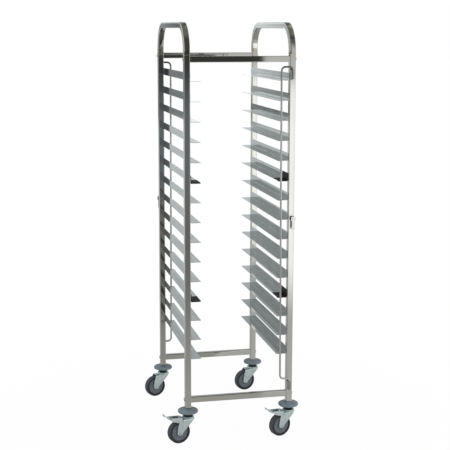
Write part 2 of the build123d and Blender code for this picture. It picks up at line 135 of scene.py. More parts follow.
class StudioSettings(PropertyGroup):
    """The camera, the lamps and the floor."""

    camera_place: FloatVectorProperty(
        name="Camera place",
        description="Where the camera stands",
        default=(-1.0522, -4.7825, 1.7124),
        subtype="XYZ",
    )
    camera_turn: FloatProperty(
        name="Camera turn", description="From +Y towards +X", default=radians(12.53), subtype="ANGLE"
    )
    camera_tilt: FloatProperty(
        name="Camera tilt", description="Below the horizon", default=radians(9.88), subtype="ANGLE"
    )
    camera_roll: FloatProperty(
        name="Camera roll", description="About the line of sight", default=radians(-0.10), subtype="ANGLE"
    )
    lens: FloatProperty(name="Lens", description="Focal length in millimetres", default=90.66, min=10.0)
    key_power: FloatProperty(
        name="Key lamp", description="Power of the key lamp in watts", default=42.0, min=0.0
    )
    fill_power: FloatProperty(
        name="Fill lamp", description="Power of the fill lamp in watts", default=16.0, min=0.0
    )
    sky: FloatProperty(
        name="Sky level", description="Level of the even light from all sides", default=0.62, min=0.0
    )
    floor: colour("Floor", "Colour of the studio floor", (0.90, 0.90, 0.90))
    floor_radius: length("Floor radius", "Radius of the round studio floor", 60.0)
    floor_rings: IntProperty(name="Floor rings", description="Rings in the floor's mesh", default=24, min=4)


# ---------------------------------------------------------------- surfaces worked out as whole arrays
class Shell:
    """Gathers the grid surfaces of one piece, each a set of rows and columns of points."""

    def __init__(self):
        self.points = []
        self.quads = []
        self.marks = []
        self.count = 0

    def add(self, grid, marks=None):
        """Join one grid: each cell between two rows and two columns is a face; the texture mark of a
        point, where none is given, is its distance along the rows' middles and round the longest row."""
        rows, columns = grid.shape[:2]
        index = np.arange(rows * columns).reshape(rows, columns) + self.count
        cells = (index[:-1, :-1], index[:-1, 1:], index[1:, 1:], index[1:, :-1])
        self.quads.append(np.stack(cells, -1).reshape(-1, 4))
        middles = grid.mean(axis=1)
        along = np.append(0, np.cumsum(np.linalg.norm(np.diff(middles, axis=0), axis=1)))
        gaps = np.linalg.norm(np.diff(grid, axis=1), axis=2)
        around = np.append(0, np.cumsum(gaps[gaps.sum(axis=1).argmax()]))
        spread = np.broadcast_arrays(*(marks or (along[:, None], around[None, :])), np.zeros((rows, columns)))
        self.marks.append(np.stack(spread[:2], -1).reshape(-1, 2))
        self.points.append(grid.reshape(-1, 3))
        self.count += rows * columns
        return self

    def piece(self, name, material, body, slot, stands_for=(), crease=38.0):
        """Make the mesh, weld seams and poles, turn faces outwards, and let the piece ride."""
        quads = np.concatenate(self.quads)
        mesh = bpy.data.meshes.new(name)
        mesh.from_pydata(np.concatenate(self.points), [], quads)
        layer = mesh.uv_layers.new(name="Length")
        layer.data.foreach_set("uv", np.concatenate(self.marks)[quads].astype(np.float32).ravel())
        work = bmesh.new()
        work.from_mesh(mesh)
        bmesh.ops.remove_doubles(work, verts=work.verts, dist=1e-6)
        bmesh.ops.recalc_face_normals(work, faces=work.faces)
        work.to_mesh(mesh)
        work.free()
        mesh.shade_smooth()
        mesh.set_sharp_from_angle(angle=radians(crease))
        made = bpy.data.objects.new(name, mesh)
        bpy.context.scene.collection.objects.link(made)
        mesh.materials.append(material)
        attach(made, body)
        if stands_for:
            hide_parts(*stands_for)
        return made


def thicken(made, thickness, edge=0.0003):
    """Give a sheet piece its wall, half to each side, and break its edges."""
    wall = made.modifiers.new("Wall", "SOLIDIFY")
    wall.thickness = thickness
    wall.offset = 0.0
    wall.use_even_offset = True
    rim = made.modifiers.new("Edges", "BEVEL")
    rim.width = edge
    rim.segments = 2
    rim.limit_method = "ANGLE"
    rim.angle_limit = radians(50)


def smooth_step(value, low, high):
    """Zero below low, one above high, and three t squared less two t cubed between them."""
    t = np.clip((value - low) / (high - low), 0.0, 1.0)
    return t * t * (3 - 2 * t)


def rounded_route(corners, radius, steps=8):
    """A line through the corners with a circular arc at each inner one. The arc starts a setback of
    radius times the tangent of half the turn before the corner; its points go round the centre from
    the first run to the second. Gives the points and the unit direction of the run at each."""
    corners = np.asarray(corners, float)
    runs = np.diff(corners, axis=0)
    runs /= np.linalg.norm(runs, axis=1)[:, None]
    radii = np.broadcast_to(np.asarray(radius, float), (len(corners) - 2,))
    places = [corners[:1]]
    ways = [runs[:1]]
    for corner, before, after, bend in zip(corners[1:-1], runs[:-1], runs[1:], radii):
        turn = np.arccos(np.clip(before @ after, -1, 1))
        inwards = (after - before * np.cos(turn)) / np.sin(turn)
        start = corner - before * bend * np.tan(turn / 2)
        swing = np.linspace(0, turn, steps + 1)[:, None]
        places.append(start + bend * inwards * (1 - np.cos(swing)) + bend * before * np.sin(swing))
        ways.append(before * np.cos(swing) + inwards * np.sin(swing))
    places.append(corners[-1:])
    ways.append(runs[-1:])
    return np.concatenate(places), np.concatenate(ways)


def softened(outline, radius, steps=5):
    """The points of a flat outline of radius and height pairs with its corners rounded."""
    return rounded_route(outline, radius, steps)[0]


def swept(route, section, side):
    """A section carried along a route: every section point goes out from the route by its first number
    along the fixed side direction and by its second along the direction square to side and run.
    Both ends are closed by a row that shrinks to the route's end point."""
    places, ways = route
    side = np.asarray(side, float)
    square = np.cross(np.broadcast_to(side, ways.shape), ways)
    across = section[None, :, :1] * side + section[None, :, 1:] * square[:, None, :]
    rings = places[:, None, :] + across
    first = np.broadcast_to(places[:1, None, :], rings[:1].shape)
    last = np.broadcast_to(places[-1:, None, :], rings[:1].shape)
    return np.concatenate((first, rings, last))


def round_section(radius, steps=24, stretch=1.0):
    """A closed circle: the sine and cosine of the turn times the radius, the second stretched."""
    turn = np.linspace(0, 2 * pi, steps + 1)
    return np.stack((radius * np.cos(turn), radius * stretch * np.sin(turn)), -1)


def square_section(width, depth, corner, steps=6):
    """A closed rectangle with quarter circles at its corners: each corner's centre plus the corner
    radius times the cosine and sine of a quarter turn, corner after corner."""
    quarter = np.linspace(0, pi / 2, steps + 1)
    turns = (quarter[None, :] + np.arange(4)[:, None] * pi / 2).ravel()
    signs = np.array(((1, 1), (-1, 1), (-1, -1), (1, -1)))
    centres = signs * (np.array((width, depth)) / 2 - corner)
    ring = np.repeat(centres, steps + 1, axis=0) + corner * np.stack((np.cos(turns), np.sin(turns)), -1)
    return np.concatenate((ring, ring[:1]))


def turned(outline, origin, axis, steps=48, wave=None):
    """A turned surface: each outline point is a radius and a height; the radius goes round the axis
    by the cosine and sine of the turn and the height runs along it. wave may change the radius and
    height by the turn."""
    outline = np.asarray(outline, float)
    axis = np.asarray(axis, float)
    first = np.cross(axis, (0.0, 0.0, 1.0) if abs(axis[2]) < 0.9 else (0.0, 1.0, 0.0))
    first /= np.linalg.norm(first)
    second = np.cross(axis, first)
    turn = np.linspace(0, 2 * pi, steps + 1)[None, :]
    radius, height = outline[:, :1] + 0 * turn, outline[:, 1:] + 0 * turn
    if wave is not None:
        radius, height = wave(radius, height, turn)
    around = np.cos(turn)[..., None] * first + np.sin(turn)[..., None] * second
    return np.asarray(origin, float) + radius[..., None] * around + height[..., None] * axis


class CastorPlace:
    """The place of one castor: its swivel line, its wheel's middle and its own axes, read from the
    frame's joints. Local x runs forward from the swivel line, y along the axle, z up."""

    def __init__(self, corner):
        joints = {joint["name"]: joint for joint in frame["joints"]}
        swivel = joints[f"{corner}_swivel_turn"]
        wheel = joints[f"{corner}_wheel_spin"]
        self.corner = corner
        self.across = np.array(wheel["axis"], float)
        self.forward = np.cross(self.across, (0.0, 0.0, 1.0))
        self.pin = np.array((swivel["pos_m"][0], swivel["pos_m"][1], 0.0))
        self.axle = np.array(wheel["pos_m"], float)
        self.trail = float((self.pin - self.axle) @ self.forward)

    def put(self, x, y, z):
        """Points in the frame from local arrays: the pin's foot plus x forward, y across and z up."""
        x, y, z = np.broadcast_arrays(x, y, z)
        flat = x[..., None] * self.forward + y[..., None] * self.across
        return self.pin + flat + z[..., None] * np.array((0.0, 0.0, 1.0))


# ---------------------------------------------------------------- shader sums
class Wire:
    """A shader socket that takes part in Python sums with numbers and other wires."""

    def __init__(self, graph, socket):
        self.graph = graph
        self.socket = socket

    def __add__(self, other):
        return self.graph.maths("ADD", self, other)

    def __sub__(self, other):
        return self.graph.maths("SUBTRACT", self, other)

    def __rsub__(self, other):
        return self.graph.maths("SUBTRACT", other, self)

    def __mul__(self, other):
        return self.graph.maths("MULTIPLY", self, other)

    __radd__ = __add__
    __rmul__ = __mul__

    def __neg__(self):
        return self.graph.maths("MULTIPLY", self, -1.0)


class Graph:
    """The node tree of a material or of the world."""

    def __init__(self, tree):
        self.tree = tree
        tree.nodes.clear()

    def node(self, kind, settings=None, inputs=None, take=0):
        """Add a node, set its settings, fill or link its inputs, and give one of its outputs."""
        made = self.tree.nodes.new(kind)
        for name, value in (settings or {}).items():
            setattr(made, name, value)
        for name, value in (inputs or {}).items():
            if isinstance(value, Wire):
                self.tree.links.new(value.socket, made.inputs[name])
            else:
                made.inputs[name].default_value = value
        return Wire(self, made.outputs[take]) if made.outputs else made

    def where(self, scale=(1.0, 1.0, 1.0), marks=False):
        """The piece's own coordinates, or its length marks, stretched by scale."""
        source = self.node("ShaderNodeTexCoord", take="UV" if marks else "Object")
        return self.node("ShaderNodeMapping", {}, {"Vector": source, "Scale": scale})

    def maths(self, kind, first, second=None):
        """A Math node of one kind."""
        inputs = {0: first} if second is None else {0: first, 1: second}
        return self.node("ShaderNodeMath", {"operation": kind}, inputs)

    def parts(self, vector):
        """The three parts of a vector."""
        made = self.tree.nodes.new("ShaderNodeSeparateXYZ")
        self.tree.links.new(vector.socket, made.inputs[0])
        return [Wire(self, made.outputs[n]) for n in range(3)]

    def noise(self, vector, scale, detail=2.0, rough=0.5):
        """A noise from zero to one."""
        inputs = {"Vector": vector, "Scale": scale, "Detail": detail, "Roughness": rough}
        return self.node("ShaderNodeTexNoise", {}, inputs)

    def ease(self, value, low, high, to_low=0.0, to_high=1.0):
        """A smooth step of a value from low to high."""
        inputs = {"Value": value, "From Min": low, "From Max": high, "To Min": to_low, "To Max": to_high}
        return self.node("ShaderNodeMapRange", {"interpolation_type": "SMOOTHSTEP", "clamp": True}, inputs)

    def tint(self, factor, first, second, blend="MIX"):
        """A colour between two, by a factor."""
        settings = {"data_type": "RGBA", "blend_type": blend}
        colours = [c if isinstance(c, Wire) else (*tuple(c)[:3], 1.0) for c in (first, second)]
        return self.node("ShaderNodeMix", settings, {0: factor, 6: colours[0], 7: colours[1]}, take=2)

    def bump(self, height, strength, distance):
        """A bumped normal."""
        inputs = {"Height": height, "Strength": strength, "Distance": distance}
        return self.node("ShaderNodeBump", {}, inputs)

    def surface(self, **inputs):
        """The principled shader with these inputs, and the output."""
        named = {name.replace("_", " "): value for name, value in inputs.items()}
        shader = self.node("ShaderNodeBsdfPrincipled", {}, named)
        self.node("ShaderNodeOutputMaterial", {}, {"Surface": shader})


def material(name):
    """A new material and its empty graph."""
    made = bpy.data.materials.new(name)
    made.use_nodes = True
    return made, Graph(made.node_tree)


def shade(base, factor):
    """A colour times a number, kept within zero and one."""
    return tuple(min(1.0, max(0.0, channel * factor)) for channel in tuple(base)[:3])


def steel(name, base, stretch, roughness=0.07, relief=0.02, marks=False, tint_at=None, painted_shade_from=None):
    """Polished steel: fine drawn lines and broad streaks along the member, slow clouding of the
    polish, faint handling smudges, and where asked a straw tint beside a weld's height or a painted
    shade from a height upwards, a darkened colour that stands in for a dark reflection."""
    made, graph = material(name)
    fine = graph.noise(graph.where([900.0 * s for s in stretch], marks), 1.0, 3.0, 0.6)
    broad = graph.noise(graph.where([130.0 * s for s in stretch], marks), 1.0, 2.0, 0.5)
    slow = graph.noise(graph.where(marks=marks), 7.0, 2.0, 0.5)
    smudge = graph.ease(graph.noise(graph.where(marks=marks), 23.0, 3.0, 0.65), 0.55, 0.80)
    tone = graph.tint(graph.ease(slow * 0.5 + broad * 0.5, 0.35, 0.65), shade(base, 0.97), shade(base, 1.03))
    if tint_at is not None or painted_shade_from is not None:
        height = graph.parts(graph.where())[2]
        wander = (slow - 0.5) * 0.012
    if tint_at is not None:
        gap = graph.maths("ABSOLUTE", height - tint_at)
        straw = graph.ease(gap + wander, 0.004, 0.020, 0.55, 0.0)
        tone = graph.tint(straw, tone, (base[0] * 0.95, base[1] * 0.86, base[2] * 0.66))
    # Painted shade: from the given height upwards the colour falls to 0.46 of the base, standing in for a
    # dark reflection.
    if painted_shade_from is not None:
        dull = graph.ease(height + wander, painted_shade_from, painted_shade_from + 0.018)
        tone = graph.tint(dull, tone, shade(base, 0.46))
    rough = (fine - 0.5) * 0.04 + (broad - 0.5) * 0.05 + smudge * 0.03 + roughness
    normal = graph.bump(fine * 0.7 + broad * 0.3, relief, 0.0003)
    graph.surface(Base_Color=tone, Metallic=1.0, Roughness=rough, Normal=normal)
    return made


def runner_steel(name, base):
    """Bright rolled sheet: close to a mirror, with a soft cloud in the polish, rolling lines along
    the runner, and slightly duller patches where pans have slid."""
    made, graph = material(name)
    lines = graph.noise(graph.where((700.0, 9.0, 700.0)), 1.0, 3.0, 0.6)
    cloud = graph.noise(graph.where(), 16.0, 3.0, 0.55)
    bands = graph.noise(graph.where((170.0, 1.6, 170.0)), 1.0, 2.0, 0.6)
    worn = graph.ease(graph.noise(graph.where((60.0, 6.0, 60.0)), 1.0, 2.0, 0.5), 0.48, 0.70)
    tone = graph.tint(graph.ease(cloud * 0.4 + bands * 0.6, 0.38, 0.62), shade(base, 0.87), shade(base, 1.11))
    rough = (lines - 0.5) * 0.04 + (cloud - 0.5) * 0.04 + worn * 0.03 + 0.08
    normal = graph.bump(lines * 0.5 + cloud * 0.5, 0.025, 0.0003)
    graph.surface(Base_Color=tone, Metallic=1.0, Roughness=rough, Normal=normal)
    return made


def zinc_plate(name, base):
    """Zinc plate: a soft metal with a cloudy bluish bloom and a fine crystal mottle."""
    made, graph = material(name)
    place = graph.where()
    bloom = graph.noise(place, 60.0, 3.0, 0.6)
    settings = {"feature": "F1"}
    mottle = graph.node("ShaderNodeTexVoronoi", settings, {"Vector": place, "Scale": 420.0}, take="Distance")
    grain = graph.noise(place, 1500.0, 2.0, 0.5)
    tone = graph.tint(graph.ease(bloom, 0.3, 0.7), shade(base, 0.90), shade(base, 1.06))
    tone = graph.tint(mottle * 0.25, tone, shade(base, 0.84))
    rough = bloom * 0.16 + grain * 0.08 + 0.22
    normal = graph.bump(grain * 0.5 + mottle * 0.5, 0.10, 0.0002)
    graph.surface(Base_Color=tone, Metallic=1.0, Roughness=rough, Normal=normal)
    return made


def moulded(name, base, roughness, pebble, scuff, gloss=0.5):
    """Moulded plastic: a fine pebbled skin, slow colour drift, and pale scuffs and dust."""
    made, graph = material(name)
    place = graph.where()
    skin = graph.noise(place, pebble, 2.0, 0.5)
    drift = graph.noise(place, 22.0, 2.0, 0.5)
    wear = graph.ease(graph.noise(place, 85.0, 4.0, 0.7), 0.55, 0.75)
    tone = graph.tint(graph.ease(drift, 0.3, 0.7), shade(base, 0.90), shade(base, 1.10))
    pale = tuple(channel * 0.75 + 0.12 for channel in tuple(base)[:3])
    tone = graph.tint(wear * scuff, tone, pale)
    rough = (skin - 0.5) * 0.10 + wear * 0.10 + (drift - 0.5) * 0.06 + roughness
    normal = graph.bump(skin, 0.22, 0.0002)
    graph.surface(Base_Color=tone, Metallic=0.0, Roughness=rough, Normal=normal, Specular_IOR_Level=gloss)
    return made


def tyre_rubber(name, wall, tread, radius):
    """Tyre rubber: dark side walls, a tread made lighter partly by floor wear and partly by a painted
    sheen for the light it catches, with fine wear lines round it, a moulded skin, and dust. The
    mark's first number is the distance from the axle, the second the distance from the tyre's middle plane."""
    made, graph = material(name)
    marks = graph.tree.nodes.new("ShaderNodeUVMap")
    marks.uv_map = "Length"
    out, side, _ = graph.parts(Wire(graph, marks.outputs["UV"]))
    lines = graph.noise(graph.node("ShaderNodeCombineXYZ", {}, {0: side * 900.0}), 1.0, 2.0, 0.6)
    skin = graph.noise(graph.where(), 1100.0, 2.0, 0.5)
    drift = graph.noise(graph.where(), 30.0, 3.0, 0.6)
    # Painted sheen mixed with wear: out from this radius the tread is tinted lighter for the light it catches
    # as well as its wear.
    worn = graph.ease(out, radius - 0.0045, radius - 0.0008)
    patch = graph.ease(lines * 0.5 + drift * 0.5, 0.36, 0.64, 0.75, 1.2)
    tone = graph.tint(worn * patch * 0.85, shade(wall, 1.0), tread)
    dust = graph.ease(graph.noise(graph.where(), 85.0, 4.0, 0.7), 0.56, 0.76, 0.0, 0.14)
    tone = graph.tint(dust, tone, (0.22, 0.22, 0.21))
    rough = (skin - 0.5) * 0.10 + worn * 0.12 + 0.50
    normal = graph.bump(skin * 0.6 + lines * 0.4, 0.22, 0.0002)
    graph.surface(Base_Color=tone, Metallic=0.0, Roughness=rough, Normal=normal)
    return made


def finish_nodes(names, finish):
    """Give CAD nodes a finish."""
    for name in names:
        node = frame["nodes"][name]
        for place in node.material_slots:
            place.material = finish


def settings():
    """The sizes, colours and studio values of the scene."""
    scene = bpy.context.scene
    return scene.rack_sizes, scene.rack_finishes, scene.rack_studio


def joint_height():
    """Height of the welds between uprights and handles."""
    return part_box("left_handle")[0].z


# ---------------------------------------------------------------- operators
class RACK_OT_tubes(Operator):
    """Finish the uprights, crossbars and plugs, and build the two bent handles"""

    bl_idname = "rack.tubes"
    bl_label = "Tubes and Handles"

    def execute(self, context):
        sizes, finishes, _ = settings()
        upright = steel("Upright steel", finishes.tube, (1.0, 1.0, 0.012), tint_at=joint_height())
        crossbar = steel("Crossbar steel", finishes.tube, (0.012, 1.0, 1.0), 0.045, 0.008)
        handle = steel("Handle steel", finishes.tube, (0.012, 1.0, 1.0), marks=True, tint_at=joint_height())
        finish_nodes([f"{corner}_upright" for corner in CORNERS], upright)
        bars = [f"{tier}_{end}_crossbar" for tier in ("top", "bottom") for end in ("front", "rear")]
        finish_nodes(bars, crossbar)
        finish_nodes(["crossbar_plugs"], crossbar)
        for side in ("left", "right"):
            self.handle(side, sizes, handle)
        return {"FINISHED"}

    def handle(self, side, sizes, finish):
        """The square section carried up one leg, round two quarter bends and down the other."""
        low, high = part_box(f"{side}_handle")
        tube = high.x - low.x
        x = (low.x + high.x) / 2
        y_front, y_rear, top = low.y + tube / 2, high.y - tube / 2, high.z - tube / 2
        corners = ((x, y_front, low.z), (x, y_front, top), (x, y_rear, top), (x, y_rear, low.z))
        route = rounded_route(corners, sizes.handle_bend, 40)
        shell = Shell().add(swept(route, square_section(tube, tube, sizes.tube_corner), (1, 0, 0)))
        shell.piece(f"{side}_bent_handle", finish, "rack_frame", "stainless_tube", [f"{side}_handle"])


class RACK_OT_welds(Operator):
    """Build the dressed welds at the handles, the sleeve welds and the runners' spot marks"""

    bl_idname = "rack.welds"
    bl_label = "Welds"

    def execute(self, context):
        sizes, finishes, _ = settings()
        bead = steel("Weld steel", shade(finishes.tube, 0.92), (0.3, 0.3, 0.3), 0.22, 0.20)
        self.handle_rings(sizes, bead)
        self.sleeve_beads(bead)
        self.spot_marks(sizes, runner_steel("Spot mark steel", shade(finishes.sheet, 0.86)))
        return {"FINISHED"}

    def handle_rings(self, sizes, finish):
        """A low rounded band round each tube joint: the tube's outline grown by a height that rises
        and falls as half a sine over the band's width, with a small ripple round the tube."""
        shell = Shell()
        for corner in CORNERS:
            low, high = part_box(f"{corner}_upright")
            tube = high.x - low.x
            outline = square_section(tube, tube, sizes.tube_corner, 8)
            fine = np.linspace(0, 1, 6 * len(outline))
            spots = np.linspace(0, 1, len(outline))
            outline = np.stack([np.interp(fine, spots, outline[:, n]) for n in (0, 1)], -1)
            rise = np.linspace(0, 1, 7)[:, None]
            ripple = 1 + 0.25 * np.sin(2 * pi * 52 * fine)[None, :]
            grow = 1 + (np.sin(pi * rise) * ripple * sizes.weld_height - 0.0002) * 2 / tube
            flat = outline[None, :, :] * grow[..., None]
            z = joint_height() + (rise - 0.5) * sizes.weld_width
            middle = ((low.x + high.x) / 2, (low.y + high.y) / 2)
            points = (flat[..., 0] + middle[0], flat[..., 1] + middle[1], z + 0 * flat[..., 0])
            band = np.stack(points, -1)
            inner = band.copy()
            inner[..., :2] = (band[..., :2] - middle) * 0.94 + middle
            shell.add(np.concatenate((band, inner[::-1], band[:1])))
        shell.piece("handle_welds", finish, "rack_frame", "stainless_tube")

    def sleeve_beads(self, finish):
        """Straight rippled beads on both sides of each hinge sleeve: a circle carried up the joint
        whose radius swells and shrinks as a sine of the height."""
        shell = Shell()
        low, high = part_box("retainer_sleeves")
        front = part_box("front_right_upright")[0].y
        hinge = {joint["name"]: joint["pos_m"] for joint in frame["joints"]}
        x, y = hinge["front_retainer_hinge"][:2]
        long = 0.036
        reach = abs(y - front) - 0.001
        for top in (high.z, low.z + long):
            for side in (-1, 1):
                height = np.linspace(-0.006, -long + 0.006, 90)
                radius = 0.0011 * (1 + 0.16 * np.sin(height * 2 * pi / 0.0016))
                radius *= np.sqrt(np.clip(1 - np.abs(height / long * 2 + 1) ** 14, 0.05, 1))
                turn = np.linspace(0, 2 * pi, 13)[None, :]
                bead_x = x + side * reach + radius[:, None] * np.cos(turn)
                bead_y = front - 0.0002 + radius[:, None] * np.sin(turn)
                bead = np.stack((bead_x, bead_y, top + height[:, None] + 0 * turn), -1)
                ends = (bead[:1].mean(axis=1, keepdims=True), bead[-1:].mean(axis=1, keepdims=True))
                caps = [np.broadcast_to(end, bead[:1].shape) for end in ends]
                whole = np.concatenate((caps[0], bead, caps[1]))
                shell.add(whole)
                shell.add(whole * np.array((-1.0, -1.0, 1.0)))
        shell.piece("sleeve_welds", finish, "rack_frame", "stainless_tube")

    def spot_marks(self, sizes, finish):
        """Shallow lens marks on the inner faces of the runner walls: the height falls with the square
        of the radius from a small dimple in the middle."""
        shell = Shell()
        share = np.linspace(0, 1, 4)
        lens = 0.00022 * (1 - share**2) - 0.00010 * np.exp(-((share * 3) ** 2))
        outline = np.stack((share * sizes.spot_radius, lens), -1)
        low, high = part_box("front_left_upright")
        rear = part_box("rear_left_upright")
        rows = ((low.y + high.y) / 2, (rear[0].y + rear[1].y) / 2)
        for level in range(1, LEVELS + 1):
            runner_low, runner_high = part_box(f"level_{level:02d}_runners")
            wall = high.x + 0.0012 - 0.00004
            z = runner_low.z + (runner_high.z - runner_low.z) * 0.58
            for y in rows:
                for shift in (-0.006, 0.006):
                    for side in (-1, 1):
                        grid = turned(outline, (side * -wall, y + shift, z), (-side, 0.0, 0.0), 12)
                        shell.add(grid)
        shell.piece("runner_spot_marks", finish, "rack_frame", "stainless_sheet")


class RACK_OT_runners(Operator):
    """Finish the fifteen pairs of pan runners and the black end clips"""

    bl_idname = "rack.runners"
    bl_label = "Runners and Clips"

    def execute(self, context):
        _, finishes, _ = settings()
        sheet = runner_steel("Runner steel", finishes.sheet)
        names = [f"level_{level:02d}_runners" for level in range(1, LEVELS + 1)]
        finish_nodes(names, sheet)
        clip = moulded("Clip plastic", finishes.clip, 0.55, 1400.0, 0.06, 0.25)
        finish_nodes(["runner_end_clips"], clip)
        return {"FINISHED"}


class RACK_OT_bolts(Operator):
    """Build the domed socket bolts on the uprights' outer faces"""

    bl_idname = "rack.bolts"
    bl_label = "Domed Bolts"
    half_tube = 0.0125

    def execute(self, context):
        sizes, finishes, _ = settings()
        bolt = steel("Bolt steel", finishes.bolt, (0.2, 0.2, 0.2), 0.18, 0.10)
        shell = Shell()
        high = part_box("crossbar_bolts")[1]
        radius = (high.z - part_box("top_front_crossbar")[1].z) + self.half_tube
        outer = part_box("front_right_upright")[1].x
        head = high.x - outer
        socket = sizes.bolt_socket / 2

        def hexagon(r, h, turn):
            """Within the socket the radius follows a hexagon: the flat's distance over the cosine of
            the turn from the nearest flat's middle."""
            flat = (turn + pi / 6) % (pi / 3) - pi / 6
            inside = r <= socket * 1.02
            return np.where(inside, r / np.cos(flat), r), h

        rim = np.linspace(0, pi / 2, 9)
        dome_r = radius - (head - 0.0005) * (1 - np.sin(rim))
        crown = head + 0.0003 * (1 - (dome_r / radius) ** 2)
        dome_h = 0.0005 + (crown - 0.0005) * np.cos(rim) ** 0.9
        lip = socket * 1.16
        ramp = np.linspace(0, 1, 5)
        top_r = dome_r[0] + (lip - dome_r[0]) * ramp
        top_h = dome_h[0] + 0.00022 * np.sin(ramp * pi / 2)
        body = np.stack((dome_r[::-1], dome_h[::-1]), -1)
        cap = np.stack((top_r[1:], top_h[1:]), -1)
        deep = head * 0.45
        well = ((socket, top_h[-1] - 0.0002), (socket, deep), (0.0, deep - 0.0004))
        outline = np.concatenate((((0.0, -0.0001), (radius, -0.0001)), body, cap, well))
        for tier in ("top", "bottom"):
            for end in ("front", "rear"):
                bar_low, bar_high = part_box(f"{tier}_{end}_crossbar")
                y, z = (bar_low.y + bar_high.y) / 2, (bar_low.z + bar_high.z) / 2
                for side in (-1, 1):
                    shell.add(turned(outline, (side * outer, y, z), (side, 0.0, 0.0), 48, hexagon))
        shell.piece("domed_bolts", bolt, "rack_frame", "bolt_steel", ["crossbar_bolts"], 30.0)
        return {"FINISHED"}


class RACK_OT_retainers(Operator):
    """Build the two swinging retainer bars, and finish their sleeves and catches"""

    bl_idname = "rack.retainers"
    bl_label = "Retainers and Catches"
    # How far below the rod's top the painted shade on its top arm begins.
    painted_shade_reach = 0.028

    def execute(self, context):
        sizes, finishes, _ = settings()
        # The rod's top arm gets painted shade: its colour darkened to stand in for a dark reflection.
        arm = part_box("front_retainer_bar")[1].z - self.painted_shade_reach
        rod = steel("Rod steel", finishes.rod, (0.02, 1.0, 1.0), 0.07, 0.02, marks=True, painted_shade_from=arm)
        for end, side in (("front", 1), ("rear", -1)):
            self.bar(end, side, sizes, rod)
        sleeve = steel("Sleeve steel", shade(finishes.rod, 0.72), (1.0, 1.0, 0.05), 0.16)
        finish_nodes(["retainer_sleeves"], sleeve)
        catch = steel("Catch steel", finishes.bolt, (1.0, 1.0, 0.04), 0.15)
        finish_nodes(["catch_brackets", "front_catch_lever", "rear_catch_lever"], catch)
        return {"FINISHED"}

    def bar(self, end, side, sizes, finish):
        """A circle carried along a long C whose ends turn down into the sleeves; the ends are domed
        by rings that shrink as a quarter circle."""
        low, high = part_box(f"{end}_retainer_bar")
        radius = (high.y - low.y) / 2
        y = (low.y + high.y) / 2
        hinge = side * max(abs(low.x), abs(high.x)) - side * radius
        run = hinge - side * sizes.bar_reach
        top = high.z - radius
        tail = low.z
        bottom = tail + sizes.arm_drop
        corners = (
            (hinge, y, top - sizes.arm_drop),
            (hinge, y, top),
            (run - side * sizes.bar_lean, y, top),
            (run, y, bottom),
            (hinge, y, bottom),
            (hinge, y, tail),
        )
        bends = (sizes.bar_end_bend, sizes.bar_bend, sizes.bar_bend, sizes.bar_end_bend)
        places, ways = rounded_route(corners, bends, 12)
        rings = swept((places, ways), round_section(radius, 24), (0, 1, 0))
        rounding = np.linspace(0, pi / 2, 5)
        for edge, way in ((1, -1), (-2, 1)):
            middle = places[0 if edge == 1 else -1]
            run_way = ways[0 if edge == 1 else -1]
            ring = rings[edge]
            shrink = (1 - 0.35 * (1 - np.cos(rounding)))[:, None, None]
            dome = middle + (ring - middle)[None] * shrink
            dome = dome + way * run_way * (0.0012 * (np.sin(rounding) - 1))[:, None, None]
            closing = np.broadcast_to(middle, ring[None].shape)
            if edge == 1:
                rings = np.concatenate((closing, dome[::-1], rings[2:]))
            else:
                rings = np.concatenate((rings[:-2], dome, closing))
        shell = Shell().add(rings)
        node = f"{end}_retainer_bar"
        shell.piece(f"{end}_retainer_rod", finish, f"{end}_retainer", "stainless_rod", [node])


class RACK_OT_bumpers(Operator):
    """Build the round wall bumpers and dust caps, and finish the stems"""

    bl_idname = "rack.bumpers"
    bl_label = "Bumpers"

    def execute(self, context):
        _, finishes, _ = settings()
        skin = moulded("Bumper plastic", finishes.bumper, 0.46, 900.0, 0.16)
        cap = moulded("Dust cap plastic", finishes.clip, 0.50, 1400.0, 0.12)
        finish_nodes(["caster_stems"], zinc_plate("Stem zinc", finishes.zinc))
        caps = Shell()
        for corner in CORNERS:
            place = CastorPlace(corner)
            low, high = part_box(f"{corner}_bumper")
            self.bumper(place, low, high, skin)
            caps.add(self.dust_cap(place, low.z))
        caps.piece("dust_caps", cap, "rack_frame", "black_plastic", ["caster_dust_caps"])
        return {"FINISHED"}

    def bumper(self, place, low, high, finish):
        """A turned lens: the rim is a squared-off half ellipse, the faces rise slightly towards a
        collar, and a fine parting line runs round the middle."""
        radius, half = (high.x - low.x) / 2, (high.z - low.z) / 2
        turn = np.linspace(-pi / 2, pi / 2, 41)
        power = 0.62
        reach = np.abs(np.cos(turn)) ** power
        rise = np.sign(turn) * np.abs(np.sin(turn)) ** (power + 0.2)
        line = 0.0004 * np.exp(-((turn / 0.05) ** 2))
        inner = radius * 0.56
        rim = np.stack((inner + (radius - inner) * reach + line, half * rise * 0.93), -1)
        bore = 0.0105
        collar = radius * 0.46
        under = ((bore, -half * 0.9), (collar, -half * 0.97), (collar + 0.002, -half * 0.93))
        over = ((collar + 0.002, half * 0.93), (collar, half), (bore, half))
        outline = np.concatenate((under, rim, over, under[:1]))
        middle = place.pin + np.array((0.0, 0.0, low.z + half))
        shell = Shell().add(turned(outline, middle, (0.0, 0.0, 1.0), 72))
        node = f"{place.corner}_bumper"
        shell.piece(f"{place.corner}_round_bumper", finish, "rack_frame", "bumper_plastic", [node], 50.0)

    def dust_cap(self, place, top):
        """A turned collar: a wide lip at the foot, a step and a plain neck."""
        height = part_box("caster_dust_caps")[1].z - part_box("caster_dust_caps")[0].z
        wide, neck, bore = 0.0190, 0.0172, 0.0066
        outline = (
            (bore, -height),
            (wide, -height),
            (wide, -height * 0.66),
            (neck, -height * 0.56),
            (neck, 0.0),
            (bore, 0.0),
            (bore, -height),
        )
        soft = softened(outline, (0.0008, 0.0012, 0.0012, 0.0004, 0.0004), 4)
        return turned(soft, place.pin + np.array((0.0, 0.0, top)), (0.0, 0.0, 1.0), 48)


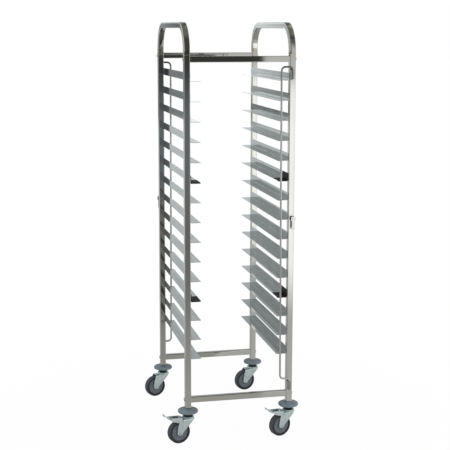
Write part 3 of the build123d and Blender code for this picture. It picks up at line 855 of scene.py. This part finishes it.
class RACK_OT_forks(Operator):
    """Build the pressed castor forks with their ball races and axle bolts"""

    bl_idname = "rack.forks"
    bl_label = "Castor Forks"
    race_height = 0.0087
    half_width = 0.0185

    def execute(self, context):
        sizes, finishes, _ = settings()
        plate = zinc_plate("Fork zinc", finishes.zinc)
        bolt = zinc_plate("Axle zinc", shade(finishes.zinc, 0.90))
        for corner in CORNERS:
            place = CastorPlace(corner)
            self.fork(place, sizes, plate)
            self.race(place, plate)
            self.axle(place, bolt)
        return {"FINISHED"}

    def heights(self):
        """Top of the crown and of the ball race, and the foot's lowest point."""
        low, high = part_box("rear_left_fork")
        return high.z - self.race_height, high.z, low.z

    def fork(self, place, sizes, finish):
        """A folded sheet: across, the line runs up one leg, round a bend, over the crown and down the
        other leg; lengthways it fills the leg's side outline, whose front edge slopes from the crown's
        nose to the foot, whose back edge drops in a slight curve, and whose foot is a half circle. A
        long bead is pressed outwards along each leg."""
        crown_top, _, foot = self.heights()
        sheet = sizes.fork_sheet
        half = self.half_width - sheet / 2
        top = crown_top - sheet / 2
        axle_z = place.axle[2]
        foot_radius = axle_z - foot
        corners = ((-half, foot), (-half, top), (half, top), (half, foot))
        line, _ = rounded_route(corners, sizes.fork_bend, 8)
        leg = np.linspace(0, 1, 26) ** 0.85
        rise_z = foot + (line[1, 1] - foot) * leg
        left = np.stack((np.full_like(rise_z, -half), rise_z), -1)
        middle = np.linspace(line[9], line[10], 8)
        profile = np.concatenate((left, line[2:10], middle[1:-1], line[10:18], left[::-1] * (-1, 1)))
        y, z = profile[:, :1], profile[:, 1:]
        drop = np.clip((z - axle_z) / (crown_top - axle_z), 0, 1)
        circle = np.sqrt(np.clip(foot_radius**2 - np.clip(axle_z - z, 0, None) ** 2, 0, None))
        nose = 0.024 + 0.002 * (1 - (y / half) ** 2) * smooth_step(z, crown_top - 0.006, top)
        swell = np.sin(pi * drop)
        front = -place.trail + circle * 1.05
        front = front + (nose + place.trail - foot_radius * 1.05) * drop + 0.0015 * swell
        back = -place.trail - circle * 1.12
        back = back + (place.trail + foot_radius * 1.12 - 0.043) * drop - 0.0028 * swell
        share = np.linspace(0, 1, 25)[None, :]
        x = back + (front - back) * share
        centre_x = (back + front) / 2
        bead = np.exp(-(((x - centre_x - 0.001) / 0.0042) ** 4))
        head = 1 - smooth_step(z, axle_z + 0.032, axle_z + 0.038)
        bead *= smooth_step(z, axle_z + 0.009, axle_z + 0.015) * head
        out = np.sign(y) * 0.0006 * bead
        shell = Shell().add(place.put(x, y + out, z + 0 * x))
        node = f"{place.corner}_fork"
        made = shell.piece(f"{node}_pressing", finish, f"{place.corner}_swivel", "zinc_steel", [node], 40.0)
        thicken(made, sheet, 0.0005)

    def race(self, place, finish):
        """The swivel head, turned: a lower cup, a dark gap, an upper cup and a raised boss."""
        crown_top, race_top, _ = self.heights()
        tall = race_top - crown_top
        wide, bore = 0.026, 0.0062
        outline = (
            (bore, -0.0006),
            (wide, -0.0006),
            (wide, tall * 0.30),
            (wide - 0.0018, tall * 0.42),
            (wide - 0.0018, tall * 0.52),
            (wide - 0.0006, tall * 0.56),
            (wide - 0.0008, tall * 0.74),
            (wide - 0.0050, tall * 0.94),
            (wide - 0.0100, tall),
            (bore, tall),
            (bore, -0.0006),
        )
        radii = (0.0002, 0.0010, 0.0006, 0.0004, 0.0003, 0.0012, 0.0025, 0.0020, 0.0002)
        soft = softened(outline, radii, 4)
        middle = place.pin + np.array((0.0, 0.0, crown_top))
        shell = Shell().add(turned(soft, middle, (0.0, 0.0, 1.0), 64))
        shell.piece(f"{place.corner}_ball_race", finish, f"{place.corner}_swivel", "zinc_steel")

    def axle(self, place, finish):
        """A domed rivet head with a dimple on one side, a chamfered hexagon nut with the thread's end
        on the other, and a plain shank between them. The nut's side follows a hexagon and its face is
        cut by a cone."""
        shank, face = 0.004, self.half_width
        shell = Shell()
        swing = np.linspace(0, pi / 2, 9)
        dome_r, dome_h = 0.0060, 0.0025
        dome = np.stack((dome_r * np.sin(swing), dome_h * np.cos(swing)), -1)
        dome[:, 1] -= 0.0009 * np.exp(-((dome[:, 0] / 0.0014) ** 2))
        head = np.concatenate((dome, ((dome_r, -0.0002), (0.0, -0.0002))))
        shell.add(turned(head, place.axle - place.across * face, -place.across, 36))
        flats, tall = 0.0065, 0.005

        def hexagon(r, h, turn):
            """The rim follows a hexagon, and the top falls by a cone outside the flats' circle."""
            flat = (turn + pi / 6) % (pi / 3) - pi / 6
            wide = np.where(r > flats * 0.8, r / np.cos(flat), r)
            return wide, np.where(h > tall * 0.5, h - np.clip(wide - flats, 0, None) * 0.55, h)

        nut = (
            (0.0, -0.0002),
            (flats, -0.0002),
            (flats, tall * 0.4),
            (flats, tall),
            (flats * 0.82, tall),
            (0.0, tall),
        )
        runs = [np.linspace(a, b, 4)[:-1] for a, b in zip(nut[:-1], nut[1:])]
        nut = np.concatenate([*runs, nut[-1:]])
        shell.add(turned(nut, place.axle + place.across * face, place.across, 48, hexagon))
        tip = tall + 0.0018
        stub = ((0.0, -0.037), (shank, -0.037), (shank, tall + 0.0010), (shank - 0.0008, tip), (0.0, tip))
        shell.add(turned(stub, place.axle + place.across * face, place.across, 24))
        node = f"{place.corner}_axle"
        shell.piece(f"{node}_bolt", finish, f"{place.corner}_swivel", "zinc_steel", [node], 32.0)


class RACK_OT_wheels(Operator):
    """Build the tyres and hubs of the four castor wheels"""

    bl_idname = "rack.wheels"
    bl_label = "Castor Wheels"

    def execute(self, context):
        sizes, finishes, _ = settings()
        rubber = tyre_rubber("Tyre rubber", finishes.tyre, finishes.tread, CastorPlace(CORNERS[0]).axle[2])
        plastic = moulded("Hub plastic", finishes.hub, 0.44, 1200.0, 0.10)
        for corner in CORNERS:
            place = CastorPlace(corner)
            self.tyre(place, sizes, rubber)
            self.hub(place, plastic)
        return {"FINISHED"}

    def tyre(self, place, sizes, finish):
        """A turned ring: a slightly crowned tread between rounded shoulders, side walls with one fine
        bead line, and a deep groove beside the hub on both sides."""
        radius, half, bore = place.axle[2], 0.0135, 0.0352
        groove, sunk = 0.0028, 0.0034
        shoulder = sizes.tyre_shoulder
        side = (
            (bore, half - sunk),
            (bore + groove, half - sunk),
            (bore + groove, half),
            (bore + 0.0052, half),
            (bore + 0.0056, half - 0.0005),
            (bore + 0.0060, half),
            (radius - 0.0002, half),
            (radius - 0.0002, half * 0.55),
            (radius, 0.0),
        )
        other = tuple((r, -h) for r, h in side[::-1][1:])
        radii = (0.0003, 0.0006, 0.0003, 0.0002, 0.0003, shoulder, 0.004, 0.02)
        soft = softened((*side, *other), (*radii[:-1], 0.02, *radii[:-1][::-1]), 6)
        outline = np.concatenate((soft, soft[:1]))
        marks = (outline[:, :1], outline[:, 1:])
        shell = Shell().add(turned(outline, place.axle, place.across, 96), marks)
        node = f"{place.corner}_tyre"
        shell.piece(f"{node}_ring", finish, f"{place.corner}_wheel", "tyre_rubber", [node])

    def hub(self, place, finish):
        """A turned hub: boss, sloping web with a raised ring, and rim; six shallow hollows are pressed
        into the web, as the sixth part of the turn swings between rib and hollow."""
        rim, boss, bore = 0.0353, 0.009, 0.004
        side = (
            (bore, 0.0155),
            (boss, 0.0155),
            (boss + 0.0010, 0.0112),
            (0.0140, 0.0106),
            (0.0150, 0.0112),
            (0.0165, 0.0112),
            (0.0172, 0.0105),
            (0.0280, 0.0108),
            (0.0305, 0.0122),
            (0.0320, 0.0126),
            (rim, 0.0120),
        )
        radii = (0.0008, 0.0015, 0.0006, 0.0004, 0.0004, 0.0006, 0.0015, 0.0010, 0.0008)
        half = softened(side, radii, 4)
        outline = np.concatenate((half, half[::-1] * (1, -1), half[:1]))

        def hollows(r, h, turn):
            """Six hollows between the raised ring and the rim, half a millimetre deep."""
            band = smooth_step(r, 0.0178, 0.0192) * (1 - smooth_step(r, 0.0262, 0.0280))
            pockets = smooth_step(np.cos(turn * 6), -0.55, -0.25)
            return r, h - np.sign(h) * 0.0005 * band * pockets

        shell = Shell().add(turned(outline, place.axle, place.across, 96, hollows))
        node = f"{place.corner}_wheel_hub"
        shell.piece(f"{place.corner}_hub_disc", finish, f"{place.corner}_wheel", "hub_plastic", [node])


class RACK_OT_brakes(Operator):
    """Build the pressed brake pedals of the two front castors"""

    bl_idname = "rack.brakes"
    bl_label = "Brake Pedals"
    climb = 0.0046
    cheek_half = 0.0207
    pivot_x, pivot_z = -0.0300, 0.0970
    shoe_x = -0.0600

    def execute(self, context):
        sizes, finishes, _ = settings()
        plate = zinc_plate("Pedal zinc", finishes.zinc)
        shoe = moulded("Brake shoe rubber", finishes.clip, 0.6, 1200.0, 0.15)
        for corner in BRAKED:
            place = CastorPlace(corner)
            hood = Shell().add(self.hood(place, sizes))
            hood.add(self.tip(place))
            hood.add(self.strap(place))
            node = f"{corner}_brake_pedal"
            body = f"{corner}_brake"
            made = hood.piece(f"{corner}_pedal_pressing", plate, body, "zinc_steel", [node], 40.0)
            thicken(made, sizes.pedal_sheet, 0.0003)
            block = Shell().add(self.shoe(place))
            block.piece(f"{corner}_brake_shoe", shoe, body, "black_plastic")
            pins = Shell()
            for side in (-1, 1):
                pins.add(self.pin(place, side))
            pins.piece(f"{corner}_pedal_pins", plate, body, "zinc_steel")
        return {"FINISHED"}

    def top(self):
        """Height of the hood's top face, from the ball race."""
        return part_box("rear_left_fork")[1].z - 0.0007

    def hood(self, place, sizes):
        """A ring of sheet: rounded rectangles from the window's lip out over the top, round the edge
        and down the skirt. The skirt is deep only on the two cheeks, deepest at the pivot, and rises
        towards the tip in a straight line. The top climbs outwards in a straight line."""
        sheet = sizes.pedal_sheet
        near, far, wide = -0.0275 - sheet / 2, -0.0920, self.cheek_half - sheet / 2
        top = self.top() - sheet / 2
        middle_x, half_x = (near + far) / 2, (near - far) / 2
        window_x, window_half, window_wide = -0.0640, 0.0215, 0.0125
        edge = 0.0030
        turn = np.linspace(0, 2 * pi, 161)[None, :]
        power = 0.30
        flat_x = np.sign(np.cos(turn)) * np.abs(np.cos(turn)) ** power
        flat_y = np.sign(np.sin(turn)) * np.abs(np.sin(turn)) ** power
        share = np.linspace(0, 1, 6)[:, None]
        inner_x, inner_y = window_x + window_half * flat_x, window_wide * flat_y
        outer_x, outer_y = middle_x + (half_x - edge) * flat_x, (wide - edge) * flat_y
        lip = np.linspace(-0.0018, 0, 3)[:, None]
        x = [inner_x + 0 * lip, inner_x + (outer_x - inner_x) * share[1:]]
        y = [inner_y + 0 * lip, inner_y + (outer_y - inner_y) * share[1:]]
        z = [top + lip + 0 * turn, top + 0 * share[1:] + 0 * turn]
        bend = np.linspace(0, pi / 2, 6)[1:, None]
        x.append(outer_x + edge * np.sin(bend) * flat_x)
        y.append(outer_y + edge * np.sin(bend) * flat_y)
        z.append(top - edge * (1 - np.cos(bend)) + 0 * turn)
        rim_x, rim_y = x[-1][-1:], y[-1][-1:]
        slope = np.clip((rim_x + 0.040) / (far + 0.040), 0, 1)
        cheek = 0.0220 - 0.0160 * slope - edge
        side = smooth_step(np.abs(rim_y), wide - 0.0009, wide - 0.0001)
        depth = 0.0015 + (cheek - 0.0015) * side
        down = np.linspace(0, 1, 7)[1:, None]
        x.append(rim_x + 0 * down)
        y.append(rim_y + 0 * down)
        z.append(top - edge - depth * down)
        x, y, z = np.concatenate(x), np.concatenate(y), np.concatenate(z)
        upper = np.clip((z - (top - edge - 0.0080)) / 0.0080, 0, 1)
        climb = np.clip((x - near) / (far - near), 0, 1)
        return place.put(x, y, z + self.climb * climb * upper)

    def tip(self, place):
        """A tongue that leaves the hood's back edge, climbs in a smooth bend and ends in a lip turned
        down: a cross line carried along a rounded route, its half width shrinking at the end as the
        root of one less the square of the way into the rounding, its edges raised as the square."""
        base = self.top() + self.climb - 0.00115
        corners = ((0.0885, 0.0, 0.0), (0.0925, 0.0, 0.0004), (0.1090, 0.0, 0.0135), (0.1112, 0.0, 0.0080))
        places, _ = rounded_route(corners, (0.012, 0.0016), 9)
        along = np.append(0, np.cumsum(np.linalg.norm(np.diff(places, axis=0), axis=1)))
        run = np.linspace(0, along[-1], 30)
        x = -np.interp(run, along, places[:, 0])[:, None]
        z = base + np.interp(run, along, places[:, 2])[:, None]
        run = (run / run[-1])[:, None]
        across = np.linspace(-1, 1, 15)[None, :]
        wide = 0.0145 * np.sqrt(np.clip(1 - np.clip((run - 0.88) / 0.20, 0, 1) ** 2, 0, 1))
        hollow = 0.0014 * across**2 * smooth_step(run, 0.2, 0.6)
        return place.put(x + 0 * across, wide * across, z + hollow)

    def strap(self, place):
        """The strap across the hood that holds the shoe, flat with turned-up ends."""
        run = np.linspace(-1, 1, 21)[None, :]
        share = np.linspace(-1, 1, 5)[:, None]
        x = self.shoe_x + 0.0080 * share
        z = 0.1035 + 0.0045 * smooth_step(np.abs(run), 0.80, 1.0)
        return place.put(x + 0 * run, 0.0196 * run + 0 * share, z + 0 * share)

    def shoe(self, place):
        """The shoe under the strap: a rounded block, as a rounded rectangle lofted upwards."""
        section = square_section(0.016, 0.020, 0.0025, 5)
        base, tall = place.axle[2] * 2 + 0.0028, 0.0053
        levels = np.array((0.0, 0.0, 0.0008, tall, tall))[:, None]
        grow = np.array((0.0, 0.94, 1.0, 1.0, 0.0))[:, None]
        x = self.shoe_x + section[None, :, 0] * grow
        return place.put(x, section[None, :, 1] * grow, base + levels)

    def pin(self, place, side):
        """A pivot rivet with a low domed head outside the cheek."""
        swing = np.linspace(0, pi / 2, 6)
        dome = np.stack((0.0040 * np.sin(swing), 0.0012 * np.cos(swing)), -1)
        stem = ((0.0040, 0.0), (0.0030, 0.0), (0.0030, -0.0046), (0.0, -0.0046))
        outline = np.concatenate((dome, stem))
        pivot = place.put(self.pivot_x, side * self.cheek_half, self.pivot_z)
        return turned(outline, pivot, side * place.across, 24)


class RACK_OT_stage(Operator):
    """Make the camera, the pale floor, the soft lamps and the studio that the steel mirrors"""

    bl_idname = "rack.stage"
    bl_label = "Studio"

    def execute(self, context):
        studio = context.scene.rack_studio
        context.scene.view_settings.view_transform = "Standard"
        self.camera(context, studio)
        self.floor(studio)
        self.board()
        self.lamps(context, studio)
        self.world(context, studio)
        return {"FINISHED"}

    def camera(self, context, studio):
        """The camera looks along a line turned from +Y towards +X and tilted below the horizon."""
        turn, tilt, roll = studio.camera_turn, studio.camera_tilt, studio.camera_roll
        ahead = np.array((sin(turn) * cos(tilt), cos(turn) * cos(tilt), -sin(tilt)))
        right = np.array((cos(turn), -sin(turn), 0.0))
        down = np.cross(ahead, right)
        right, down = cos(roll) * right + sin(roll) * down, cos(roll) * down - sin(roll) * right
        data = bpy.data.cameras.new("Camera")
        data.sensor_width = 36.0
        data.lens = studio.lens
        data.clip_end = 200.0
        made = bpy.data.objects.new("Camera", data)
        context.scene.collection.objects.link(made)
        columns = np.stack((right, -down, -ahead, np.array(studio.camera_place)), -1)
        made.matrix_world = Matrix([*columns.tolist(), [0.0, 0.0, 0.0, 1.0]])
        context.scene.camera = made

    def stage_grid(self, name, grid):
        """A linked mesh in which each cell between two rows and two columns is a face."""
        index = np.arange(grid.shape[0] * grid.shape[1]).reshape(grid.shape[:2])
        cells = (index[:-1, :-1], index[1:, :-1], index[1:, 1:], index[:-1, 1:])
        mesh = bpy.data.meshes.new(name)
        mesh.from_pydata(grid.reshape(-1, 3), [], np.stack(cells, -1).reshape(-1, 4))
        made = bpy.data.objects.new(name, mesh)
        bpy.context.scene.collection.objects.link(made)
        return made

    def floor(self, studio):
        """A flat disc: rings whose radius grows as the cube of their share, each turned full circle."""
        share = np.linspace(0, 1, studio.floor_rings + 1)
        outline = np.stack((studio.floor_radius * share**3, -0.0002 + 0 * share), -1)
        grid = turned(outline, (0.0, 0.0, 0.0), (0.0, 0.0, 1.0), 64)
        made = self.stage_grid("Studio_floor", grid)
        made.visible_glossy = False
        made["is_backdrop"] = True
        finish, graph = material("Floor paint")
        place = graph.where()
        far = graph.node("ShaderNodeVectorMath", {"operation": "LENGTH"}, {0: place}, take="Value")
        cloud = graph.noise(place, 1.5, 2.0, 0.5)
        tone = graph.tint(cloud, shade(studio.floor, 0.99), shade(studio.floor, 1.01))
        paint = graph.node("ShaderNodeBsdfDiffuse", {}, {"Color": tone})
        white = graph.node("ShaderNodeEmission", {}, {"Color": (1.0, 1.0, 1.0, 1.0), "Strength": 1.0})
        seen = graph.node("ShaderNodeLightPath", take="Is Camera Ray")
        share = seen * graph.ease(far, 0.4, 1.8, 0.975, 1.0)
        mixed = graph.node("ShaderNodeMixShader", {}, {0: share, 1: paint, 2: white})
        graph.node("ShaderNodeOutputMaterial", {}, {"Surface": mixed})
        made.data.materials.append(finish)

    def lamps(self, context, studio):
        """Two large square lamps that point at the rack's middle; the steel doesn't mirror them."""
        low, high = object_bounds()
        middle = (low + high) / 2
        spots = (
            ("Key", (2.6, -3.4, 3.4), studio.key_power, 2.6),
            ("Fill", (-3.4, 1.6, 2.6), studio.fill_power, 3.0),
        )
        for name, place, power, size in spots:
            data = bpy.data.lights.new(name, "AREA")
            data.energy = power
            data.size = size
            made = bpy.data.objects.new(name, data)
            context.scene.collection.objects.link(made)
            made.location = place
            aim = middle - made.location
            made.rotation_euler = aim.to_track_quat("-Z", "Y").to_euler()
            made.visible_glossy = False

    def board(self):
        """A tall light board beside the camera's line, seen only by mirrors: a flat grid in width and
        height. Its level follows the height: a lit middle, a dimmer foot and a head that fades."""
        width = np.linspace(0.40, 2.80, 7)[None, :]
        height = np.linspace(-1.20, 3.60, 13)[:, None]
        grid = np.stack(np.broadcast_arrays(width, -1.93, height), -1)
        made = self.stage_grid("Light_board", grid)
        for ray in ("camera", "diffuse", "transmission", "shadow", "volume_scatter"):
            setattr(made, f"visible_{ray}", False)
        made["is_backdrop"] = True
        finish, graph = material("Light board")
        x, _, z = graph.parts(graph.where())
        level = graph.ease(z, 0.05, 0.42, 0.60, 1.42) - graph.ease(z, 1.34, 1.50, 0.0, 0.72)
        level = level - graph.ease(z, 1.60, 3.00, 0.0, 0.55)
        glow = graph.node("ShaderNodeEmission", {}, {"Color": (1.0, 1.0, 0.965, 1.0), "Strength": level})
        clear = graph.node("ShaderNodeBsdfTransparent")
        share = graph.ease(x, 0.49, 0.53) * graph.ease(x, 1.9, 2.7, 1.0, 0.0)
        mixed = graph.node("ShaderNodeMixShader", {}, {0: share, 1: clear, 2: glow})
        graph.node("ShaderNodeOutputMaterial", {}, {"Surface": mixed})
        made.data.materials.append(finish)

    def ahead(self, graph, front, height):
        """The level in front of the rack: pale near the floor, darkening to the horizon, with bright
        open sides. Gives the level and the share of those sides, which the tint follows too."""
        ease = graph.ease
        level = ease(height, -19.0, -11.0, 0.47, 0.20) - ease(height, -4.5, -1.6, 0.0, 0.15)
        level = level + ease(height, 2.0, 9.0, 0.0, 0.025) - ease(height, -22.0, -19.0, 0.11, 0.0)
        facing = ease(front, -8.0, 7.5, 1.0, 0.0) * ease(height, -0.5, 3.0)
        left = graph.maths("MAXIMUM", ease(front, -80.0, -28.0, 1.0, 0.0), facing)
        sides = left + ease(front, 36.0, 64.0)
        open_side = ease(height, -25.0, 0.0, 0.56, 0.78)
        return level + (open_side - level) * sides, sides

    def sky(self, graph, rear, height):
        """The level behind the rack above the horizon: brightest just over it and falling with the
        height, with its own fall at the left, the right and far beside the rack."""
        ease = graph.ease
        sky = ease(height, 3.2, 6.2, 1.40, 0.66)
        left_sky = ease(height, 1.6, 6.0, 1.20, 0.46) + ease(height, 7.0, 10.0, 0.0, 0.09)
        right_sky = ease(height, 1.8, 5.0, 1.45, 0.68) - ease(height, 12.2, 13.8, 0.0, 0.14)
        sky = sky + (left_sky - sky) * ease(rear, -12.8, -11.2, 1.0, 0.0)
        sky = sky + (right_sky - sky) * ease(rear, 11.8, 13.2)
        sky = sky - ease(height, 11.0, 18.0, 0.0, 0.10)
        beside = ease(rear, 20.0, 34.0) + ease(rear, -20.0, -34.0)
        sky = sky - ease(height, 20.0, 36.0, 0.0, 0.31) * (1.0 - beside)
        return sky + beside * ease(height, 10.0, 40.0, 0.0, 0.20)

    def behind(self, graph, rear, height):
        """The level behind the rack: a pale floor with a dark line under the horizon, lit again at
        the left and in one band at the right, the sky above, and a bright strip on each side."""
        ease = graph.ease
        low_rear = ease(height, -17.0, -6.0, 0.50, 0.70) - ease(height, -4.9, -4.3, 0.0, 0.45)
        lit_rear = ease(rear, -13.2, -11.2, 1.0, 0.0) * ease(height, -4.1, -1.3, 0.0, 0.82)
        lit_rear = lit_rear * ease(rear, -16.6, -13.8, 0.30, 1.0)
        lit_rear = lit_rear + ease(rear, -9.7, -8.8, 0.0, 0.50) * ease(height, -1.4, -0.4)
        back = low_rear + lit_rear - ease(height, -1.4, -0.6, 0.0, 0.11)
        band = ease(rear, 9.4, 11.4) * ease(rear, 15.0, 18.0, 1.0, 0.0)
        back = back + band * ease(height, -2.6, -1.7, 0.0, 0.75)
        back = back + (self.sky(graph, rear, height) - back) * ease(height, 0.8, 2.3)
        strip = ease(rear, 38.0, 52.0) * ease(rear, 60.0, 74.0, 1.0, 0.0)
        strip = strip + ease(rear, -38.0, -52.0) * ease(rear, -60.0, -74.0, 1.0, 0.0)
        return back + (0.95 - back) * strip * ease(height, -12.0, -2.0) * ease(height, 25.0, 50.0, 1.0, 0.0)

    def tints(self, graph, height, sides, to_rear):
        """The colour of each direction: in front a warm foot, a cool middle and a straw horizon,
        neutral at the sides, faintly cool behind, and straw again high up."""
        straw = (1.02, 1.0, 0.82)
        warm = graph.tint(graph.ease(height, -10.0, -7.0), (1.0, 1.0, 0.92), (0.93, 1.0, 1.07))
        warm = graph.tint(graph.ease(height, -2.4, -1.0), warm, straw)
        warm = graph.tint(sides, warm, (1.0, 1.0, 0.97))
        cool = graph.tint(to_rear, warm, (0.94, 0.99, 1.0))
        return graph.tint(graph.ease(height, 26.0, 50.0), cool, straw)

    def world(self, context, studio):
        """White for the camera, an even light for dull surfaces, and for mirrors and glass the studio
        by direction: smooth steps in the turn about the upright and the height above the horizon."""
        world = bpy.data.worlds.new("Studio")
        world.use_nodes = True
        context.scene.world = world
        graph = Graph(world.node_tree)
        x, y, z = graph.parts(graph.node("ShaderNodeTexCoord", take="Generated"))
        degrees = 180.0 / pi
        front = graph.maths("ARCTAN2", x, -y) * degrees
        rear = graph.maths("ARCTAN2", x, y) * degrees
        height = graph.maths("ARCSINE", z) * degrees
        to_rear = graph.ease(y, -0.12, 0.12)
        ahead, sides = self.ahead(graph, front, height)
        level = ahead + (self.behind(graph, rear, height) - ahead) * to_rear
        level = level + (0.20 - level) * graph.ease(height, 45.0, 74.0)
        level = level + (0.38 - level) * graph.ease(height, -62.0, -24.0, 1.0, 0.0)
        tone = self.tints(graph, height, sides, to_rear)
        grey = graph.node("ShaderNodeCombineColor", {}, {0: level, 1: level, 2: level})
        seen = graph.tint(1.0, tone, grey, "MULTIPLY")
        paths = graph.tree.nodes.new("ShaderNodeLightPath").outputs
        glossy, through, camera = (
            Wire(graph, paths[f"Is {ray} Ray"]) for ray in ("Glossy", "Transmission", "Camera")
        )
        mirror_ray = graph.maths("MAXIMUM", glossy, through)
        white = (1.0, 1.0, 1.0, 1.0)
        even = graph.node("ShaderNodeBackground", {}, {"Color": white, "Strength": studio.sky})
        mirror = graph.node("ShaderNodeBackground", {}, {"Color": seen, "Strength": 1.0})
        plain_white = graph.node("ShaderNodeBackground", {}, {"Color": white, "Strength": 1.0})
        mixed = graph.node("ShaderNodeMixShader", {}, {0: mirror_ray, 1: even, 2: mirror})
        mixed = graph.node("ShaderNodeMixShader", {}, {0: camera, 1: mixed, 2: plain_white})
        graph.node("ShaderNodeOutputWorld", {}, {"Surface": mixed})


STEPS = (
    RACK_OT_stage,
    RACK_OT_tubes,
    RACK_OT_welds,
    RACK_OT_runners,
    RACK_OT_bolts,
    RACK_OT_retainers,
    RACK_OT_bumpers,
    RACK_OT_forks,
    RACK_OT_wheels,
    RACK_OT_brakes,
)


class RACK_PT_looks(Panel):
    """The rack's steps, sizes and colours in the sidebar"""

    bl_idname = "RACK_PT_looks"
    bl_label = "Sheet Pan Rack"
    bl_space_type = "VIEW_3D"
    bl_region_type = "UI"
    bl_category = "Pan Rack"

    def draw(self, context):
        for step in STEPS:
            self.layout.operator(step.bl_idname)
        for group in (context.scene.rack_sizes, context.scene.rack_finishes, context.scene.rack_studio):
            box = self.layout.box()
            for name in group.__annotations__:
                box.prop(group, name)


GROUPS = (("rack_sizes", RackSizes), ("rack_finishes", RackFinishes), ("rack_studio", StudioSettings))


def register():
    """Register the property groups, operators and panel."""
    for name, group in GROUPS:
        bpy.utils.register_class(group)
        setattr(bpy.types.Scene, name, PointerProperty(type=group))
    for step in (*STEPS, RACK_PT_looks):
        bpy.utils.register_class(step)


def unregister():
    """Take everything back in the opposite order."""
    for step in (RACK_PT_looks, *reversed(STEPS)):
        bpy.utils.unregister_class(step)
    for name, group in reversed(GROUPS):
        delattr(bpy.types.Scene, name)
        bpy.utils.unregister_class(group)


def main():
    """Register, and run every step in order."""
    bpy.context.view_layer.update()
    register()
    for step in STEPS:
        group, name = step.bl_idname.split(".")
        getattr(getattr(bpy.ops, group), name)()


if __name__ == "__main__":
    main()
